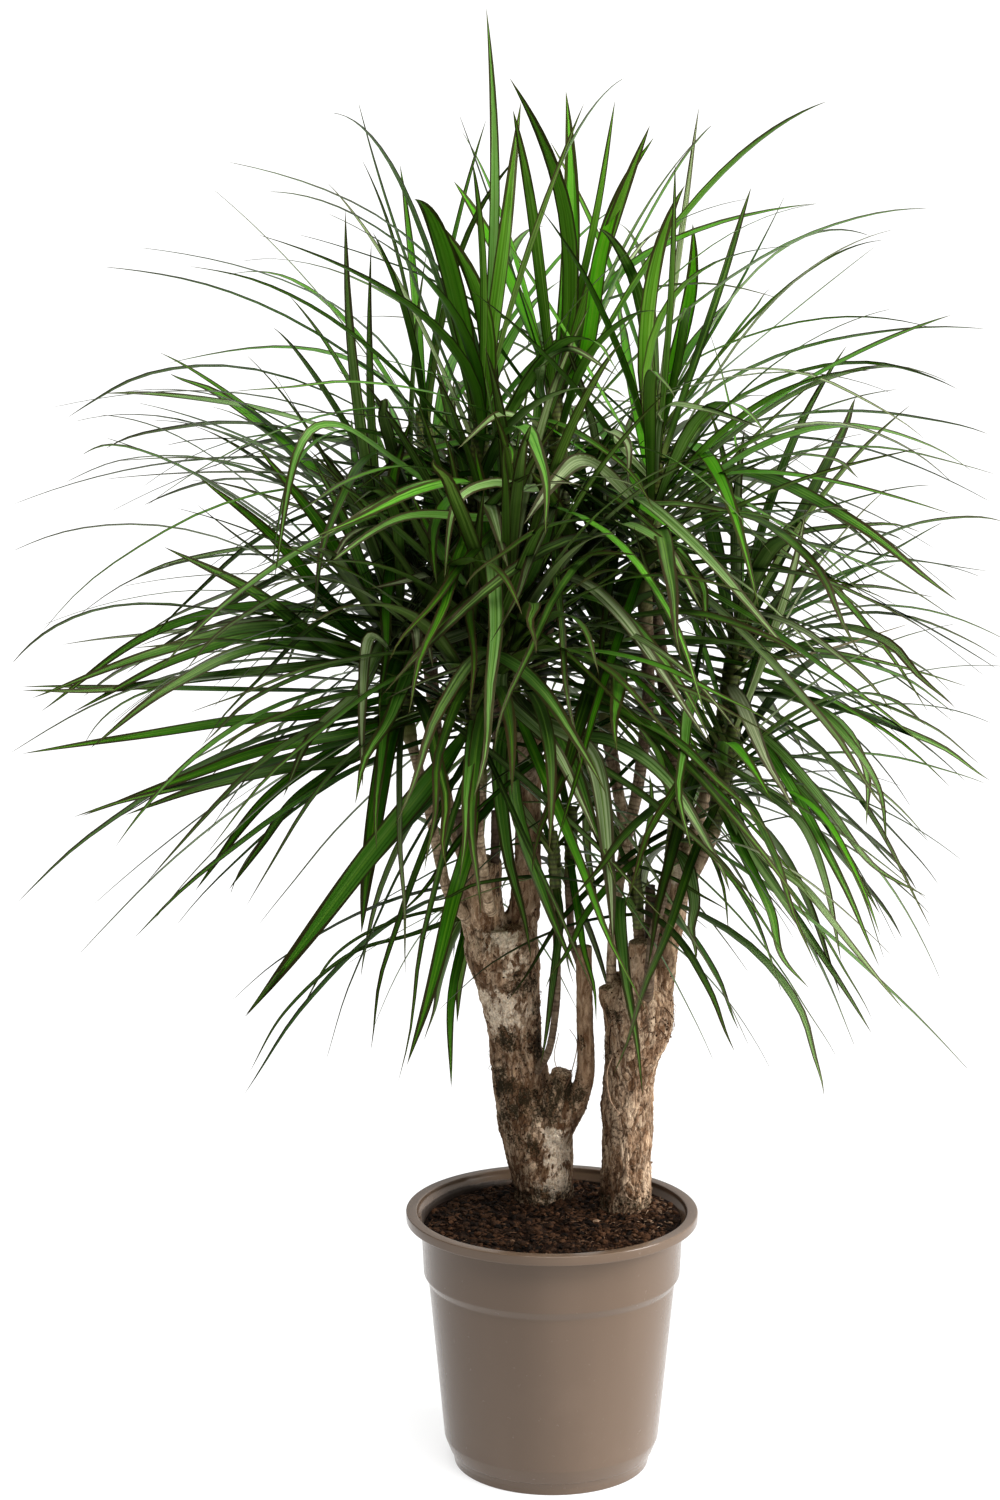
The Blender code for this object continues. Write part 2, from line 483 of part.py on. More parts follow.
class Leaf:
    """A leaf's middle line, a quadratic curve from its root to its tip, and the way its blade faces."""

    def __init__(self, root, tip, lift, push=0.0, roll=0.0, width=LEAF_WIDTH):
        self.root, self.tip = root, tip
        self.middle = (root + tip) / 2 + Vector((2 * push, 0, 2 * lift))
        out = Vector((tip.x - root.x, tip.y - root.y, 0))
        self.side = out.normalized().cross(UP)
        self.lift, self.roll, self.width = abs(lift), roll, width

    def point(self, t):
        return self.root * (1 - t) ** 2 + self.middle * 2 * t * (1 - t) + self.tip * t * t

    def frame(self, t):
        """the blade's tangent, side and face directions at a share of its length"""
        tangent = ((self.middle - self.root) * (1 - t) + (self.tip - self.middle) * t).normalized()
        side = (self.side - tangent * self.side.dot(tangent)).normalized()
        side = Matrix.Rotation(self.roll, 3, tangent) @ side
        return tangent, side, side.cross(tangent)

    def half_width(self, t):
        shares = (0, 0.3, 0.58, 0.82, 1)
        widths = (LEAF_ROOT_WIDTH, self.width * 0.95, self.width * 0.9, self.width * 0.5, 0)
        return float(np.interp(t, shares, widths)) / 2

    def thickness(self, t):
        return float(np.interp(t, (0, 0.6, 1), (LEAF_THICKNESS * 1.3, LEAF_THICKNESS, 0.0002)))

    def laid(self, blank, grow=0.0):
        """places of the blank's points on this leaf, made thicker all round by grow"""
        places = []
        for x, y, t in blank.points:
            _, side, face = self.frame(t)
            taper = max(1 - t, 0.0001)
            across = x / taper / math.sin(math.radians(60))
            down = (y / taper + 0.5) / 1.5
            width = self.half_width(t) + grow
            depth = self.thickness(t) * down + grow * (2 * down - 1)
            places.append(self.point(t) + side * (across * width) - face * depth)
        return places


class Thicket:
    """Everything that a new leaf has to stay clear of."""

    def __init__(self):
        self.lows, self.highs, self.trees, self.owners = [], [], [], []

    def add(self, owner, places, faces):
        array = np.array(places)
        self.lows.append(array.min(axis=0))
        self.highs.append(array.max(axis=0))
        self.trees.append(BVHTree.FromPolygons(places, faces))
        self.owners.append(owner)

    def meets(self, places, faces, skip=None, only=None):
        array = np.array(places)
        low, high = array.min(axis=0), array.max(axis=0)
        near = np.all(np.array(self.lows) <= high, axis=1) & np.all(np.array(self.highs) >= low, axis=1)
        tree = BVHTree.FromPolygons(places, faces)
        for i in np.nonzero(near)[0]:
            if self.owners[i] == skip or (only and self.owners[i] != only):
                continue
            if tree.overlap(self.trees[i]):
                return True
        return False


def leading_leaf(head, lead, attempt):
    """a leaf by hand, its tip moved in depth where it would run into another"""
    share, tip, lift, push = lead
    depth = DEPTH_STEP * ((attempt + 1) // 2) * (1 if attempt % 2 else -1)
    root = head.foot.lerp(head.top, share)
    tip = Vector(tip) + Vector((0, depth, 0.15 * abs(depth)))
    return Leaf(root, tip, lift + 0.1 * depth, push, 0.0, LEAF_WIDTH * 1.08)


def in_crown(point):
    heights, radii = zip(*CROWN)
    x, y = point.x - CROWN_MIDDLE[0], point.y - CROWN_MIDDLE[1]
    return heights[0] < point.z < heights[-1] and math.hypot(x, y) < np.interp(point.z, heights, radii)


def ruled_leaf(head, index, count, attempt, seed):
    """a leaf of the spiral: the oldest hang from the foot of the head, the youngest stand at its top"""
    draw = Random("%s %d %d" % (seed, index, attempt))
    age = (index + 0.5) / count
    stray = 1 + 0.12 * attempt
    angle = index * GOLDEN_ANGLE + len(seed) + math.radians(draw.uniform(-9, 9) * stray)
    rise = head.lowest + (STEEPEST - head.lowest) * age ** 1.1 + draw.uniform(-6, 6) * stray
    rise = math.radians(max(rise, LOWEST))
    length = head.length * (0.80 + 0.28 * math.sin(math.pi * min(age + 0.1, 1))) * draw.uniform(0.85, 1.08)
    length *= 1 - 0.007 * attempt
    out = Vector((math.cos(angle), math.sin(angle), 0))
    chord = out * math.cos(rise) + UP * math.sin(rise)
    root = head.foot.lerp(head.top, 0.10 + 0.82 * age)
    while not in_crown(root + chord * length) and length > 0.1:
        length *= 0.95
    lift = length * draw.uniform(0.07, 0.21) * max(math.cos(rise), 0.2)
    push = length * draw.uniform(-0.05, 0.05)
    width = LEAF_WIDTH * draw.uniform(0.74, 1.08) * min(1.0, head.length / 0.34)
    return Leaf(root, root + chord * length, lift, push, math.radians(draw.uniform(-16, 16)), width)


def set_root(head, leaf):
    """moves the root a little out of the stem's middle, to the side where the leaf leaves it"""
    leaf.root = leaf.root + (leaf.tip - leaf.root).normalized() * (0.2 * head.radius)


def grow_leaves(thicket, straight, arched):
    """places the leaves of all heads, each one clear of the others"""
    grown = {key: [] for key in HEADS}

    def place(key, make, attempts):
        head = HEADS[key]
        for attempt in range(attempts):
            leaf = make(attempt)
            set_root(head, leaf)
            blank = straight if leaf.lift < STRAIGHT_LIFT else arched
            if thicket.meets(leaf.laid(blank, CLEARANCE), blank.faces, skip=key):
                continue
            strict = attempt < attempts * STRICT_SHARE
            if strict and thicket.meets(leaf.laid(blank), blank.outer, only=key):
                continue
            thicket.add(key, leaf.laid(blank), blank.faces)
            grown[key].append((leaf, blank))
            return

    for key, head in HEADS.items():
        for lead in head.leads:
            place(key, lambda attempt: leading_leaf(head, lead, attempt), LEAD_TRIES)
    for index in range(max(head.leaves for head in HEADS.values())):
        for key, head in HEADS.items():
            count = head.leaves - len(head.leads)
            if index < count:
                place(key, lambda attempt: ruled_leaf(head, index, count, attempt, key),
                      RULE_TRIES)
    return grown


def mesh_parts(obj):
    """an object's evaluated points and faces"""
    bpy.context.view_layer.update()
    mesh = obj.evaluated_get(bpy.context.evaluated_depsgraph_get()).to_mesh()
    points = [obj.matrix_world @ v.co for v in mesh.vertices]
    return points, [tuple(p.vertices) for p in mesh.polygons]


def make_leaves(solids, group, mat):
    """every head of leaves, each one solid"""
    thicket = Thicket()
    for solid in solids:
        thicket.add(solid.name, *mesh_parts(solid))
    stems = {key: leafy_stem(key, head, group) for key, head in HEADS.items()}
    for key, stem in stems.items():
        thicket.add(key, *mesh_parts(stem))
    grown = grow_leaves(thicket, blade_blank(STRAIGHT_CUTS), blade_blank(ARCHED_CUTS))
    for key, leaves in grown.items():
        pieces = []
        for n, (leaf, blank) in enumerate(leaves):
            mesh = blank.mesh.copy()
            for vertex, place in zip(mesh.vertices, leaf.laid(blank)):
                vertex.co = place
            pieces.append(add_object("%s_leaf_%d" % (key, n), mesh, group))
        fuse(key, stems[key], pieces, group, mat, solver="MANIFOLD")


def main():
    for obj in list(bpy.data.objects):
        bpy.data.objects.remove(obj)
    group = collection("potted_dragon_tree")
    cutters = collection("cutters")
    pot = make_pot(group, cutters)
    soil = make_soil(group, cutters)
    bark = material("bark", (0.26, 0.17, 0.10), 0.9)
    left = make_trunk("trunk_left", TRUNK_LEFT, LIMBS_LEFT, "left", group, bark)
    right = make_trunk("trunk_right", TRUNK_RIGHT, LIMBS_RIGHT, "right", group, bark)
    make_leaves([pot, soil, left, right], group, material("leaf_green", (0.045, 0.19, 0.03), 0.42))


main()
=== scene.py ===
"""The looks of the potted dragon tree: a satin taupe nursery pot, peat, scaly bark, ringed canes and long
leaves with dark margins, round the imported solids. Metres, +Z up, and the side that is seen first faces -Y.
"""
import math
from random import Random

import bmesh
import bpy
import numpy as np
from mathutils import Matrix, Vector, noise
from mathutils.bvhtree import BVHTree
from mathutils.kdtree import KDTree


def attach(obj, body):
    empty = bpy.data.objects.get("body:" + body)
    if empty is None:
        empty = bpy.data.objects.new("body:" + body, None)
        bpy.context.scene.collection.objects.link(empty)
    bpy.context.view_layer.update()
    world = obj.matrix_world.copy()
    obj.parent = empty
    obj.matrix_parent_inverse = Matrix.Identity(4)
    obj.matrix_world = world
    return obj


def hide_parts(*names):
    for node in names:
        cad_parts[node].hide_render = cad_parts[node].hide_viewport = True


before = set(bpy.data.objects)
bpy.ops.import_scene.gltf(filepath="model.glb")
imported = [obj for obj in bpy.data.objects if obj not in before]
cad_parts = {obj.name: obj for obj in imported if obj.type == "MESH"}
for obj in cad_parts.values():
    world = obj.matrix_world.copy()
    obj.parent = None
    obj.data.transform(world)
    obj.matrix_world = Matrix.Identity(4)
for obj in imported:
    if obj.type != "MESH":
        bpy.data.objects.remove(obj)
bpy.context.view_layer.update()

noise.seed_set(1)               # without it, noise_vector would start from the clock
UP = Vector((0, 0, 1))
GAP = 0.0003

# pot
POT_HEIGHT = 0.2435
RIM_RADIUS = 0.135
RIM_DEPTH = 0.009
MOUTH_RADIUS = 0.125
COLLAR_TOP = (0.1212, 0.2335)   # radius and height where the collar meets the rim
COLLAR_FOOT = (0.1188, 0.184)
BODY_TOP = (0.1143, 0.1768)
BODY_FOOT = (0.0998, 0.026)
FLOOR_EDGE = 0.0913
WALL = 0.0023
FLOOR = 0.0055
FOOT_RADIUS = 0.0905
CHANNEL = (0.059, 0.079)
CHANNEL_DEPTH = 0.0025
DRAIN_HOLES = 6
DRAIN_RADIUS = 0.005
POT_SIDES = 144
MOULDED = 0.0011                # radius of the pot's edges

# bark
BARK_VOXEL = 0.0013
BARK_MARKS = ("relief", "scale", "age", "pale", "moss", "cut")      # what each point of the bark carries
TRUNK_SIDES = 36
CLINGING_BITS = 420

# canes
CANE_MARKS = ("along", "ring", "dark")
CANE_SIDES = 12
CANE_RING = 0.0021              # from one groove to the ridge above it

# soil
SOIL_TOP = 0.2325
SOIL_TILT = 0.035
PEG_BOTTOM = 0.165
SOIL_SIDES = 220
SOIL_RINGS = 64
CRUMBS, HEAPED_CRUMBS = 3000, 700       # all of them, and those heaped at the trunks
FIBRES, HEAPED_FIBRES = 900, 120
CHIPS = 300

# leaves
LEAF_WIDTH = 0.0145
LEAF_THICKNESS = 0.0014         # of the solid leaves, which the clearances are measured with
LEAF_ROOT_WIDTH = 0.0068
BLADE = 0.0007                  # thickness of a real leaf at its midrib
STATIONS = (0, 0.05, 0.12, 0.2, 0.29, 0.38, 0.47, 0.55, 0.62, 0.69, 0.75, 0.81, 0.86, 0.91, 0.95, 0.98, 1)
BENT_STATIONS = [i / 36 for i in range(37)]
ARCHED_CUTS = (0.27, 0.55, 0.8)
STRAIGHT_CUTS = (0.35, 0.72)
STRAIGHT_LIFT = 0.025
CLEARANCE = 0.0010
STEM_SHAPE = [(0, 0.90), (0.65, 1.05), (1.0, 0.70)]     # share of the leafy stem's length, and of its radius
STEM_RING = 0.0024
# the leaf's marks: its tone, which carries painted shade and light too, how dry it is, and the strength of
# its painted sheen
LEAF_MARKS = ("tone", "dry", "painted_sheen")
WOODY = ("pot", "soil", "trunk_left", "trunk_right")    # nodes that every leaf stays clear of
GOLDEN_ANGLE = math.radians(137.508)
STEEPEST = 75
LOWEST = -62
LEAD_TRIES = 24
RULE_TRIES = 40
FILLING_TRIES = 6
DEPTH_STEP = 0.011
STRICT_SHARE = 0.8
FILLING = 1.2                   # further leaves in a head, as a share of the solid ones
FILLED_SHARE = 0.7              # the youngest, which stand upright, get no further ones
FORKS = (-0.13, 0.15, 0.60)     # further leaves don't hang below this height before the forks' x range
HANG_LEFT, HANG_RIGHT = 0.60, 0.50    # nor below these heights on the left and the right of them
# At these places (x, z, reach) the crown is open: the leaves are slimmer and hardly any are added.
AIRY_PLACES = [(0.13, 1.03, 0.11), (-0.12, 1.06, 0.07), (-0.07, 1.19, 0.07), (0.11, 1.14, 0.06),
               (-0.12, 0.53, 0.06), (0.15, 0.52, 0.05), (0.24, 0.52, 0.06), (-0.39, 0.81, 0.08),
               (-0.022, 0.60, 0.04), (-0.22, 1.05, 0.09), (0.24, 1.08, 0.08), (-0.31, 0.71, 0.07),
               (-0.22, 0.64, 0.07), (-0.34, 0.88, 0.06)]
BACK_EDGE = 0.435               # further leaves stay in front of this depth
SMALL_HEAD = 0.25               # leaf length of the young heads on sprouts
CROWN_MIDDLE = (-0.045, 0.020)
CROWN = [(0.33, 0.20), (0.40, 0.32), (0.50, 0.39), (0.60, 0.43), (0.70, 0.455), (0.80, 0.455), (0.90, 0.45),
         (1.00, 0.43), (1.10, 0.385), (1.20, 0.28), (1.27, 0.14), (1.33, 0.02)]   # height, radius

# Woody limbs: points (x, y, z, radius) from the lowest up.
TRUNK_LEFT = [
    (-0.007, 0.055, PEG_BOTTOM, 0.0272), (-0.007, 0.055, 0.244, 0.0272), (-0.010, 0.055, 0.272, 0.0310),
    (-0.015, 0.055, 0.303, 0.0330), (-0.026, 0.055, 0.340, 0.0275), (-0.033, 0.053, 0.380, 0.0250),
    (-0.036, 0.050, 0.415, 0.0255), (-0.041, 0.047, 0.450, 0.0300), (-0.047, 0.044, 0.485, 0.0340),
    (-0.049, 0.043, 0.505, 0.0300)]
TRUNK_RIGHT = [
    (0.069, 0.025, PEG_BOTTOM, 0.0240), (0.069, 0.025, 0.244, 0.0240), (0.070, 0.024, 0.290, 0.0232),
    (0.070, 0.022, 0.345, 0.0235), (0.074, 0.018, 0.385, 0.0255), (0.079, 0.015, 0.415, 0.0320),
    (0.079, 0.012, 0.443, 0.0315), (0.081, 0.010, 0.458, 0.0250)]
LIMBS_LEFT = {
    "left_fork": [
        (-0.050, 0.045, 0.460, 0.022), (-0.062, 0.038, 0.505, 0.0205), (-0.065, 0.033, 0.535, 0.0188),
        (-0.065, 0.030, 0.568, 0.0182)],
    "right_fork": [
        (-0.040, 0.048, 0.455, 0.022), (-0.029, 0.045, 0.505, 0.0155), (-0.023, 0.042, 0.556, 0.0128),
        (-0.022, 0.040, 0.627, 0.0115), (-0.018, 0.040, 0.700, 0.0108)],
    "side_branch": [
        (-0.005, 0.045, 0.300, 0.021), (0.010, 0.036, 0.322, 0.0165), (0.024, 0.028, 0.343, 0.0105),
        (0.031, 0.022, 0.368, 0.0084), (0.030, 0.020, 0.430, 0.0078), (0.029, 0.020, 0.489, 0.0078)],
    "side_stub": [
        (-0.002, 0.036, 0.325, 0.014), (0.006, 0.030, 0.352, 0.0110), (0.010, 0.028, 0.368, 0.0095)],
    "dead_cane": [
        (-0.054, 0.030, 0.515, 0.006), (-0.053, 0.022, 0.560, 0.0042), (-0.052, 0.022, 0.615, 0.0040)],
    "dead_spur": [
        (-0.075, 0.030, 0.555, 0.006), (-0.083, 0.026, 0.590, 0.0042), (-0.086, 0.025, 0.615, 0.0038)],
}
LIMBS_RIGHT = {
    "middle_fork": [
        (0.080, 0.004, 0.420, 0.020), (0.081, -0.004, 0.455, 0.0130), (0.081, -0.006, 0.500, 0.0122)],
    "right_fork": [
        (0.088, 0.014, 0.430, 0.020), (0.103, 0.012, 0.484, 0.0120), (0.109, 0.011, 0.520, 0.0130),
        (0.115, 0.010, 0.572, 0.0125)],
    "left_stub": [(0.064, 0.012, 0.425, 0.013), (0.054, 0.009, 0.440, 0.0105), (0.051, 0.008, 0.454, 0.0095)],
    "dark_stub": [(0.092, 0.012, 0.470, 0.008), (0.090, 0.010, 0.510, 0.0058), (0.089, 0.010, 0.548, 0.0046)],
    "knob": [(0.090, 0.014, 0.418, 0.016), (0.103, 0.012, 0.420, 0.0120), (0.109, 0.011, 0.421, 0.0070)],
}
THIN_LIMBS = ("dead_cane", "dead_spur", "dark_stub")


class Head:
    """A head of leaves: the foot and top of its leafy stem, its leaf count, their length and lowest angle,
    the route of the cane that carries it, and its longest leaves, given one by one."""

    def __init__(self, foot, top, leaves, length, lowest, trunk, cane, leads):
        self.foot, self.top = Vector(foot), Vector(top)
        self.leaves, self.length, self.lowest = leaves, length, lowest
        self.trunk, self.cane, self.leads = trunk, cane, leads
        self.small = self.length < SMALL_HEAD
        self.radius = 0.0065 if self.small else 0.0095

    def axis(self):
        return (self.top - self.foot).normalized()


# Leading leaves: how far up the leafy stem the leaf starts, where its tip is (x, y, z), how far the
# middle of the leaf stands above the straight line to the tip, and how far it is pushed aside along X.
HEADS = {
    "leaves_top": Head(
        (0.008, 0.020, 0.885), (0.000, 0.020, 1.000), 31, 0.38, -30, "left",
        [(-0.019, 0.040, 0.675, 0.0100), (-0.012, 0.035, 0.745, 0.0078), (0.001, 0.026, 0.820, 0.0070)],
        [(0.90, (-0.04, -0.06, 1.27), 0.01, 0.03), (0.95, (0.01, 0.06, 1.26), -0.01, 0.01),
         (0.85, (0.08, -0.06, 1.23), 0.01, 0.0), (0.80, (0.14, 0.05, 1.23), 0.04, 0.01),
         (0.70, (0.23, -0.08, 1.25), 0.05, 0.0), (0.90, (-0.09, 0.08, 1.18), 0.02, 0.0),
         (0.50, (0.24, 0.10, 1.16), 0.04, -0.07), (0.55, (0.32, -0.06, 1.16), 0.05, 0.0),
         (0.20, (0.20, -0.20, 0.79), 0.05, -0.02), (0.10, (0.13, -0.17, 0.81), 0.02, 0.03),
         (0.15, (-0.10, -0.18, 0.85), 0.04, -0.04)]),
    "leaves_top_left": Head(
        (-0.070, -0.015, 0.865), (-0.065, -0.030, 0.975), 32, 0.38, -35, "left",
        [(-0.030, 0.036, 0.600, 0.0060), (-0.047, 0.012, 0.660, 0.0048), (-0.056, 0.006, 0.740, 0.0052),
         (-0.068, -0.002, 0.815, 0.0060)],
        [(0.95, (-0.06, -0.02, 1.33), 0.0, 0.01), (0.85, (-0.03, -0.08, 1.25), 0.0, 0.0),
         (0.90, (0.06, 0.00, 1.27), 0.06, 0.0), (0.80, (-0.19, -0.08, 1.24), 0.07, 0.0),
         (0.70, (-0.28, -0.10, 1.20), 0.04, 0.07), (0.75, (-0.19, -0.20, 1.16), 0.02, 0.04),
         (0.60, (-0.25, -0.16, 1.14), 0.02, 0.06), (0.55, (-0.39, -0.06, 1.11), 0.04, 0.01),
         (0.90, (-0.12, -0.16, 1.17), 0.05, 0.0), (0.90, (-0.10, -0.10, 1.15), 0.01, 0.02),
         (0.50, (0.05, -0.24, 1.03), 0.07, 0.01), (0.20, (-0.20, -0.22, 0.89), 0.05, 0.05),
         (0.10, (-0.20, -0.16, 0.86), 0.03, 0.0), (0.40, (-0.24, -0.18, 0.85), 0.09, -0.04)]),
    "leaves_back_left": Head(
        (-0.105, 0.100, 0.870), (-0.120, 0.120, 0.970), 22, 0.37, -30, "left",
        [(-0.024, 0.046, 0.640, 0.0090), (-0.050, 0.070, 0.715, 0.0065), (-0.084, 0.088, 0.800, 0.0065)],
        [(0.70, (-0.38, 0.12, 1.12), 0.03, 0.06), (0.50, (-0.36, 0.18, 1.01), 0.05, 0.05),
         (0.45, (-0.41, 0.08, 0.99), 0.02, 0.0), (0.30, (-0.41, 0.10, 0.91), 0.01, 0.0)]),
    "leaves_right": Head(
        (0.081, -0.028, 0.835), (0.090, -0.040, 0.940), 29, 0.36, -35, "right",
        [(0.054, 0.012, 0.445, 0.0050), (0.055, 0.014, 0.495, 0.0046), (0.064, 0.030, 0.565, 0.0050),
         (0.079, 0.036, 0.640, 0.0056), (0.086, 0.026, 0.710, 0.0058), (0.083, -0.010, 0.785, 0.0062)],
        [(0.90, (0.11, -0.08, 1.18), 0.02, -0.02), (0.80, (0.20, -0.12, 1.13), 0.05, -0.05),
         (0.70, (0.34, -0.08, 1.07), 0.02, 0.0), (0.60, (0.26, -0.18, 1.03), 0.03, 0.0),
         (0.55, (0.29, -0.12, 1.01), 0.02, 0.0), (0.45, (0.35, -0.04, 0.92), 0.07, 0.0),
         (0.30, (0.34, -0.10, 0.90), 0.05, -0.06), (0.50, (0.17, -0.24, 0.98), 0.06, 0.0)]),
    "leaves_back_right": Head(
        (0.087, 0.110, 0.880), (0.100, 0.125, 0.980), 24, 0.37, -30, "right",
        [(0.113, 0.012, 0.545, 0.0085), (0.112, 0.055, 0.640, 0.0070), (0.098, 0.095, 0.770, 0.0066)],
        [(0.90, (0.13, 0.16, 1.14), 0.0, 0.01), (0.80, (0.29, 0.12, 1.13), 0.06, 0.0),
         (0.70, (0.30, 0.16, 1.12), -0.02, -0.03), (0.60, (0.39, 0.06, 1.05), 0.03, -0.03),
         (0.85, (0.17, 0.20, 1.07), 0.0, -0.01), (0.50, (0.40, 0.10, 0.95), 0.03, 0.0),
         (0.20, (0.40, 0.06, 0.83), 0.0, -0.07)]),
    "leaves_front": Head(
        (-0.035, -0.030, 0.705), (-0.045, -0.060, 0.815), 38, 0.38, -55, "left",
        [(-0.021, 0.036, 0.640, 0.0090), (-0.027, 0.012, 0.668, 0.0080), (-0.032, -0.014, 0.684, 0.0080)],
        [(0.30, (-0.48, -0.08, 0.69), 0.0, 0.0), (0.10, (-0.02, -0.12, 0.51), 0.04, -0.02),
         (0.15, (0.02, -0.08, 0.49), 0.01, -0.02), (0.60, (0.05, -0.20, 0.59), 0.03, 0.0),
         (0.80, (0.13, -0.22, 0.72), 0.07, 0.0)]),
    "leaves_front_low": Head(
        (-0.067, -0.030, 0.665), (-0.074, -0.050, 0.765), 28, 0.36, -60, "left",
        [(-0.056, 0.028, 0.515, 0.0065), (-0.060, -0.002, 0.545, 0.0052), (-0.067, -0.024, 0.605, 0.0047)],
        [(0.60, (-0.42, -0.12, 0.64), 0.0, 0.01), (0.40, (-0.37, -0.12, 0.53), 0.03, 0.0),
         (0.20, (-0.29, -0.04, 0.55), 0.03, -0.03), (0.10, (-0.27, -0.16, 0.47), 0.01, 0.0),
         (0.05, (-0.13, -0.12, 0.41), 0.01, 0.0)]),
    "leaves_left": Head(
        (-0.131, 0.000, 0.700), (-0.145, 0.000, 0.810), 32, 0.38, -45, "left",
        [(-0.072, 0.030, 0.505, 0.0065), (-0.096, 0.008, 0.545, 0.0052), (-0.111, 0.000, 0.615, 0.0048),
         (-0.125, 0.000, 0.672, 0.0050)],
        [(0.90, (-0.18, -0.08, 1.16), 0.0, -0.01), (0.95, (-0.16, -0.02, 1.13), 0.0, -0.01),
         (0.80, (-0.41, -0.08, 0.95), 0.06, -0.04), (0.70, (-0.31, -0.10, 0.91), -0.03, 0.03),
         (0.60, (-0.48, -0.03, 0.86), 0.06, 0.0), (0.40, (-0.49, 0.02, 0.75), 0.06, -0.04),
         (0.30, (-0.41, -0.10, 0.70), 0.03, -0.05), (0.25, (-0.49, 0.08, 0.72), 0.0, 0.0),
         (0.10, (-0.48, -0.06, 0.55), 0.04, 0.0), (0.05, (-0.44, 0.06, 0.47), 0.03, 0.0)]),
    "leaves_left_back": Head(
        (-0.115, 0.062, 0.770), (-0.130, 0.075, 0.870), 24, 0.36, -40, "left",
        [(-0.074, 0.038, 0.550, 0.0065), (-0.090, 0.052, 0.590, 0.0055), (-0.104, 0.056, 0.660, 0.0056)],
        [(0.80, (-0.38, 0.10, 0.98), 0.02, 0.0), (0.60, (-0.38, 0.14, 0.88), 0.05, 0.0),
         (0.50, (-0.39, 0.06, 0.82), 0.03, 0.0), (0.30, (-0.46, 0.14, 0.75), 0.0, 0.0)]),
    "leaves_right_back": Head(
        (0.155, 0.040, 0.690), (0.172, 0.046, 0.790), 30, 0.35, -45, "right",
        [(0.116, 0.014, 0.555, 0.0075), (0.132, 0.030, 0.600, 0.0062), (0.146, 0.037, 0.650, 0.0062)],
        [(0.80, (0.35, 0.02, 0.88), 0.0, 0.0), (0.90, (0.32, 0.12, 0.83), -0.02, -0.03),
         (0.70, (0.31, -0.06, 0.80), -0.02, -0.03), (0.50, (0.37, 0.06, 0.70), 0.03, 0.0),
         (0.40, (0.37, -0.02, 0.65), 0.03, 0.0), (0.30, (0.27, -0.12, 0.63), 0.03, 0.04)]),
    "leaves_right_low": Head(
        (0.145, -0.010, 0.610), (0.162, -0.015, 0.700), 27, 0.33, -58, "right",
        [(0.113, 0.006, 0.530, 0.0070), (0.128, -0.004, 0.562, 0.0056)],
        [(0.60, (0.35, 0.00, 0.55), 0.04, 0.0), (0.50, (0.33, -0.08, 0.61), 0.04, 0.0),
         (0.40, (0.33, 0.08, 0.48), 0.03, 0.0), (0.30, (0.35, -0.04, 0.47), 0.05, 0.01),
         (0.20, (0.27, -0.08, 0.42), 0.02, 0.0), (0.15, (0.27, 0.06, 0.43), 0.05, 0.0)]),
    "leaves_middle": Head(
        (0.050, 0.060, 0.700), (0.050, 0.072, 0.800), 22, 0.34, -50, "right",
        [(0.084, 0.018, 0.465, 0.0070), (0.076, 0.042, 0.540, 0.0056), (0.060, 0.055, 0.630, 0.0056)], []),
    "sprout_right": Head(
        (0.104, -0.030, 0.578), (0.112, -0.037, 0.645), 12, 0.24, -50, "right",
        [(0.085, -0.004, 0.440, 0.0065), (0.087, -0.028, 0.470, 0.0050), (0.090, -0.032, 0.510, 0.0048),
         (0.099, -0.031, 0.548, 0.0048)],
        [(0.50, (0.37, -0.08, 0.40), 0.02, 0.0), (0.30, (0.20, -0.12, 0.48), 0.04, 0.0),
         (0.20, (0.12, -0.09, 0.50), 0.02, 0.01)]),
    "sprout_middle": Head(
        (0.078, -0.010, 0.513), (0.074, -0.018, 0.565), 11, 0.22, -55, "right", [],
        [(0.70, (0.24, -0.08, 0.37), 0.02, 0.04), (0.50, (0.17, -0.12, 0.41), 0.02, 0.0),
         (0.20, (0.08, -0.10, 0.38), 0.08, -0.02)]),
    "sprout_back": Head(
        (-0.070, 0.088, 0.505), (-0.086, 0.100, 0.575), 12, 0.23, -60, "left",
        [(-0.047, 0.058, 0.440, 0.0080), (-0.060, 0.078, 0.472, 0.0062)],
        [(0.30, (-0.29, 0.08, 0.33), 0.04, 0.0), (0.20, (-0.17, 0.12, 0.38), 0.03, 0.0),
         (0.10, (-0.12, 0.16, 0.36), 0.02, 0.0), (0.10, (-0.09, 0.13, 0.38), 0.02, 0.0)]),
    "sprout_thin": Head(
        (0.003, 0.004, 0.540), (0.000, 0.002, 0.600), 9, 0.20, -45, "left",
        [(-0.014, 0.036, 0.365, 0.0045), (-0.002, 0.022, 0.392, 0.0036), (0.004, 0.016, 0.440, 0.0036),
         (0.004, 0.010, 0.490, 0.0036)], []),
    "sprout_twig": Head(
        (0.016, 0.024, 0.562), (0.018, 0.026, 0.618), 8, 0.20, -40, "left",
        [(0.028, 0.020, 0.465, 0.0040), (0.019, 0.022, 0.490, 0.0036), (0.016, 0.023, 0.520, 0.0036)], []),
}


def smooth_step(low, high, value):
    t = min(max((value - low) / (high - low), 0.0), 1.0)
    return t * t * (3 - 2 * t)


# Finishes

def finish_of(name, roughness, specular=0.5):
    """a new material and its Principled shader"""
    mat = bpy.data.materials.new(name)
    mat.use_nodes = True
    shader = mat.node_tree.nodes["Principled BSDF"]
    shader.inputs["Roughness"].default_value = roughness
    shader.inputs["Specular IOR Level"].default_value = specular
    return mat, shader


def join(mat, source, target):
    mat.node_tree.links.new(source, target)


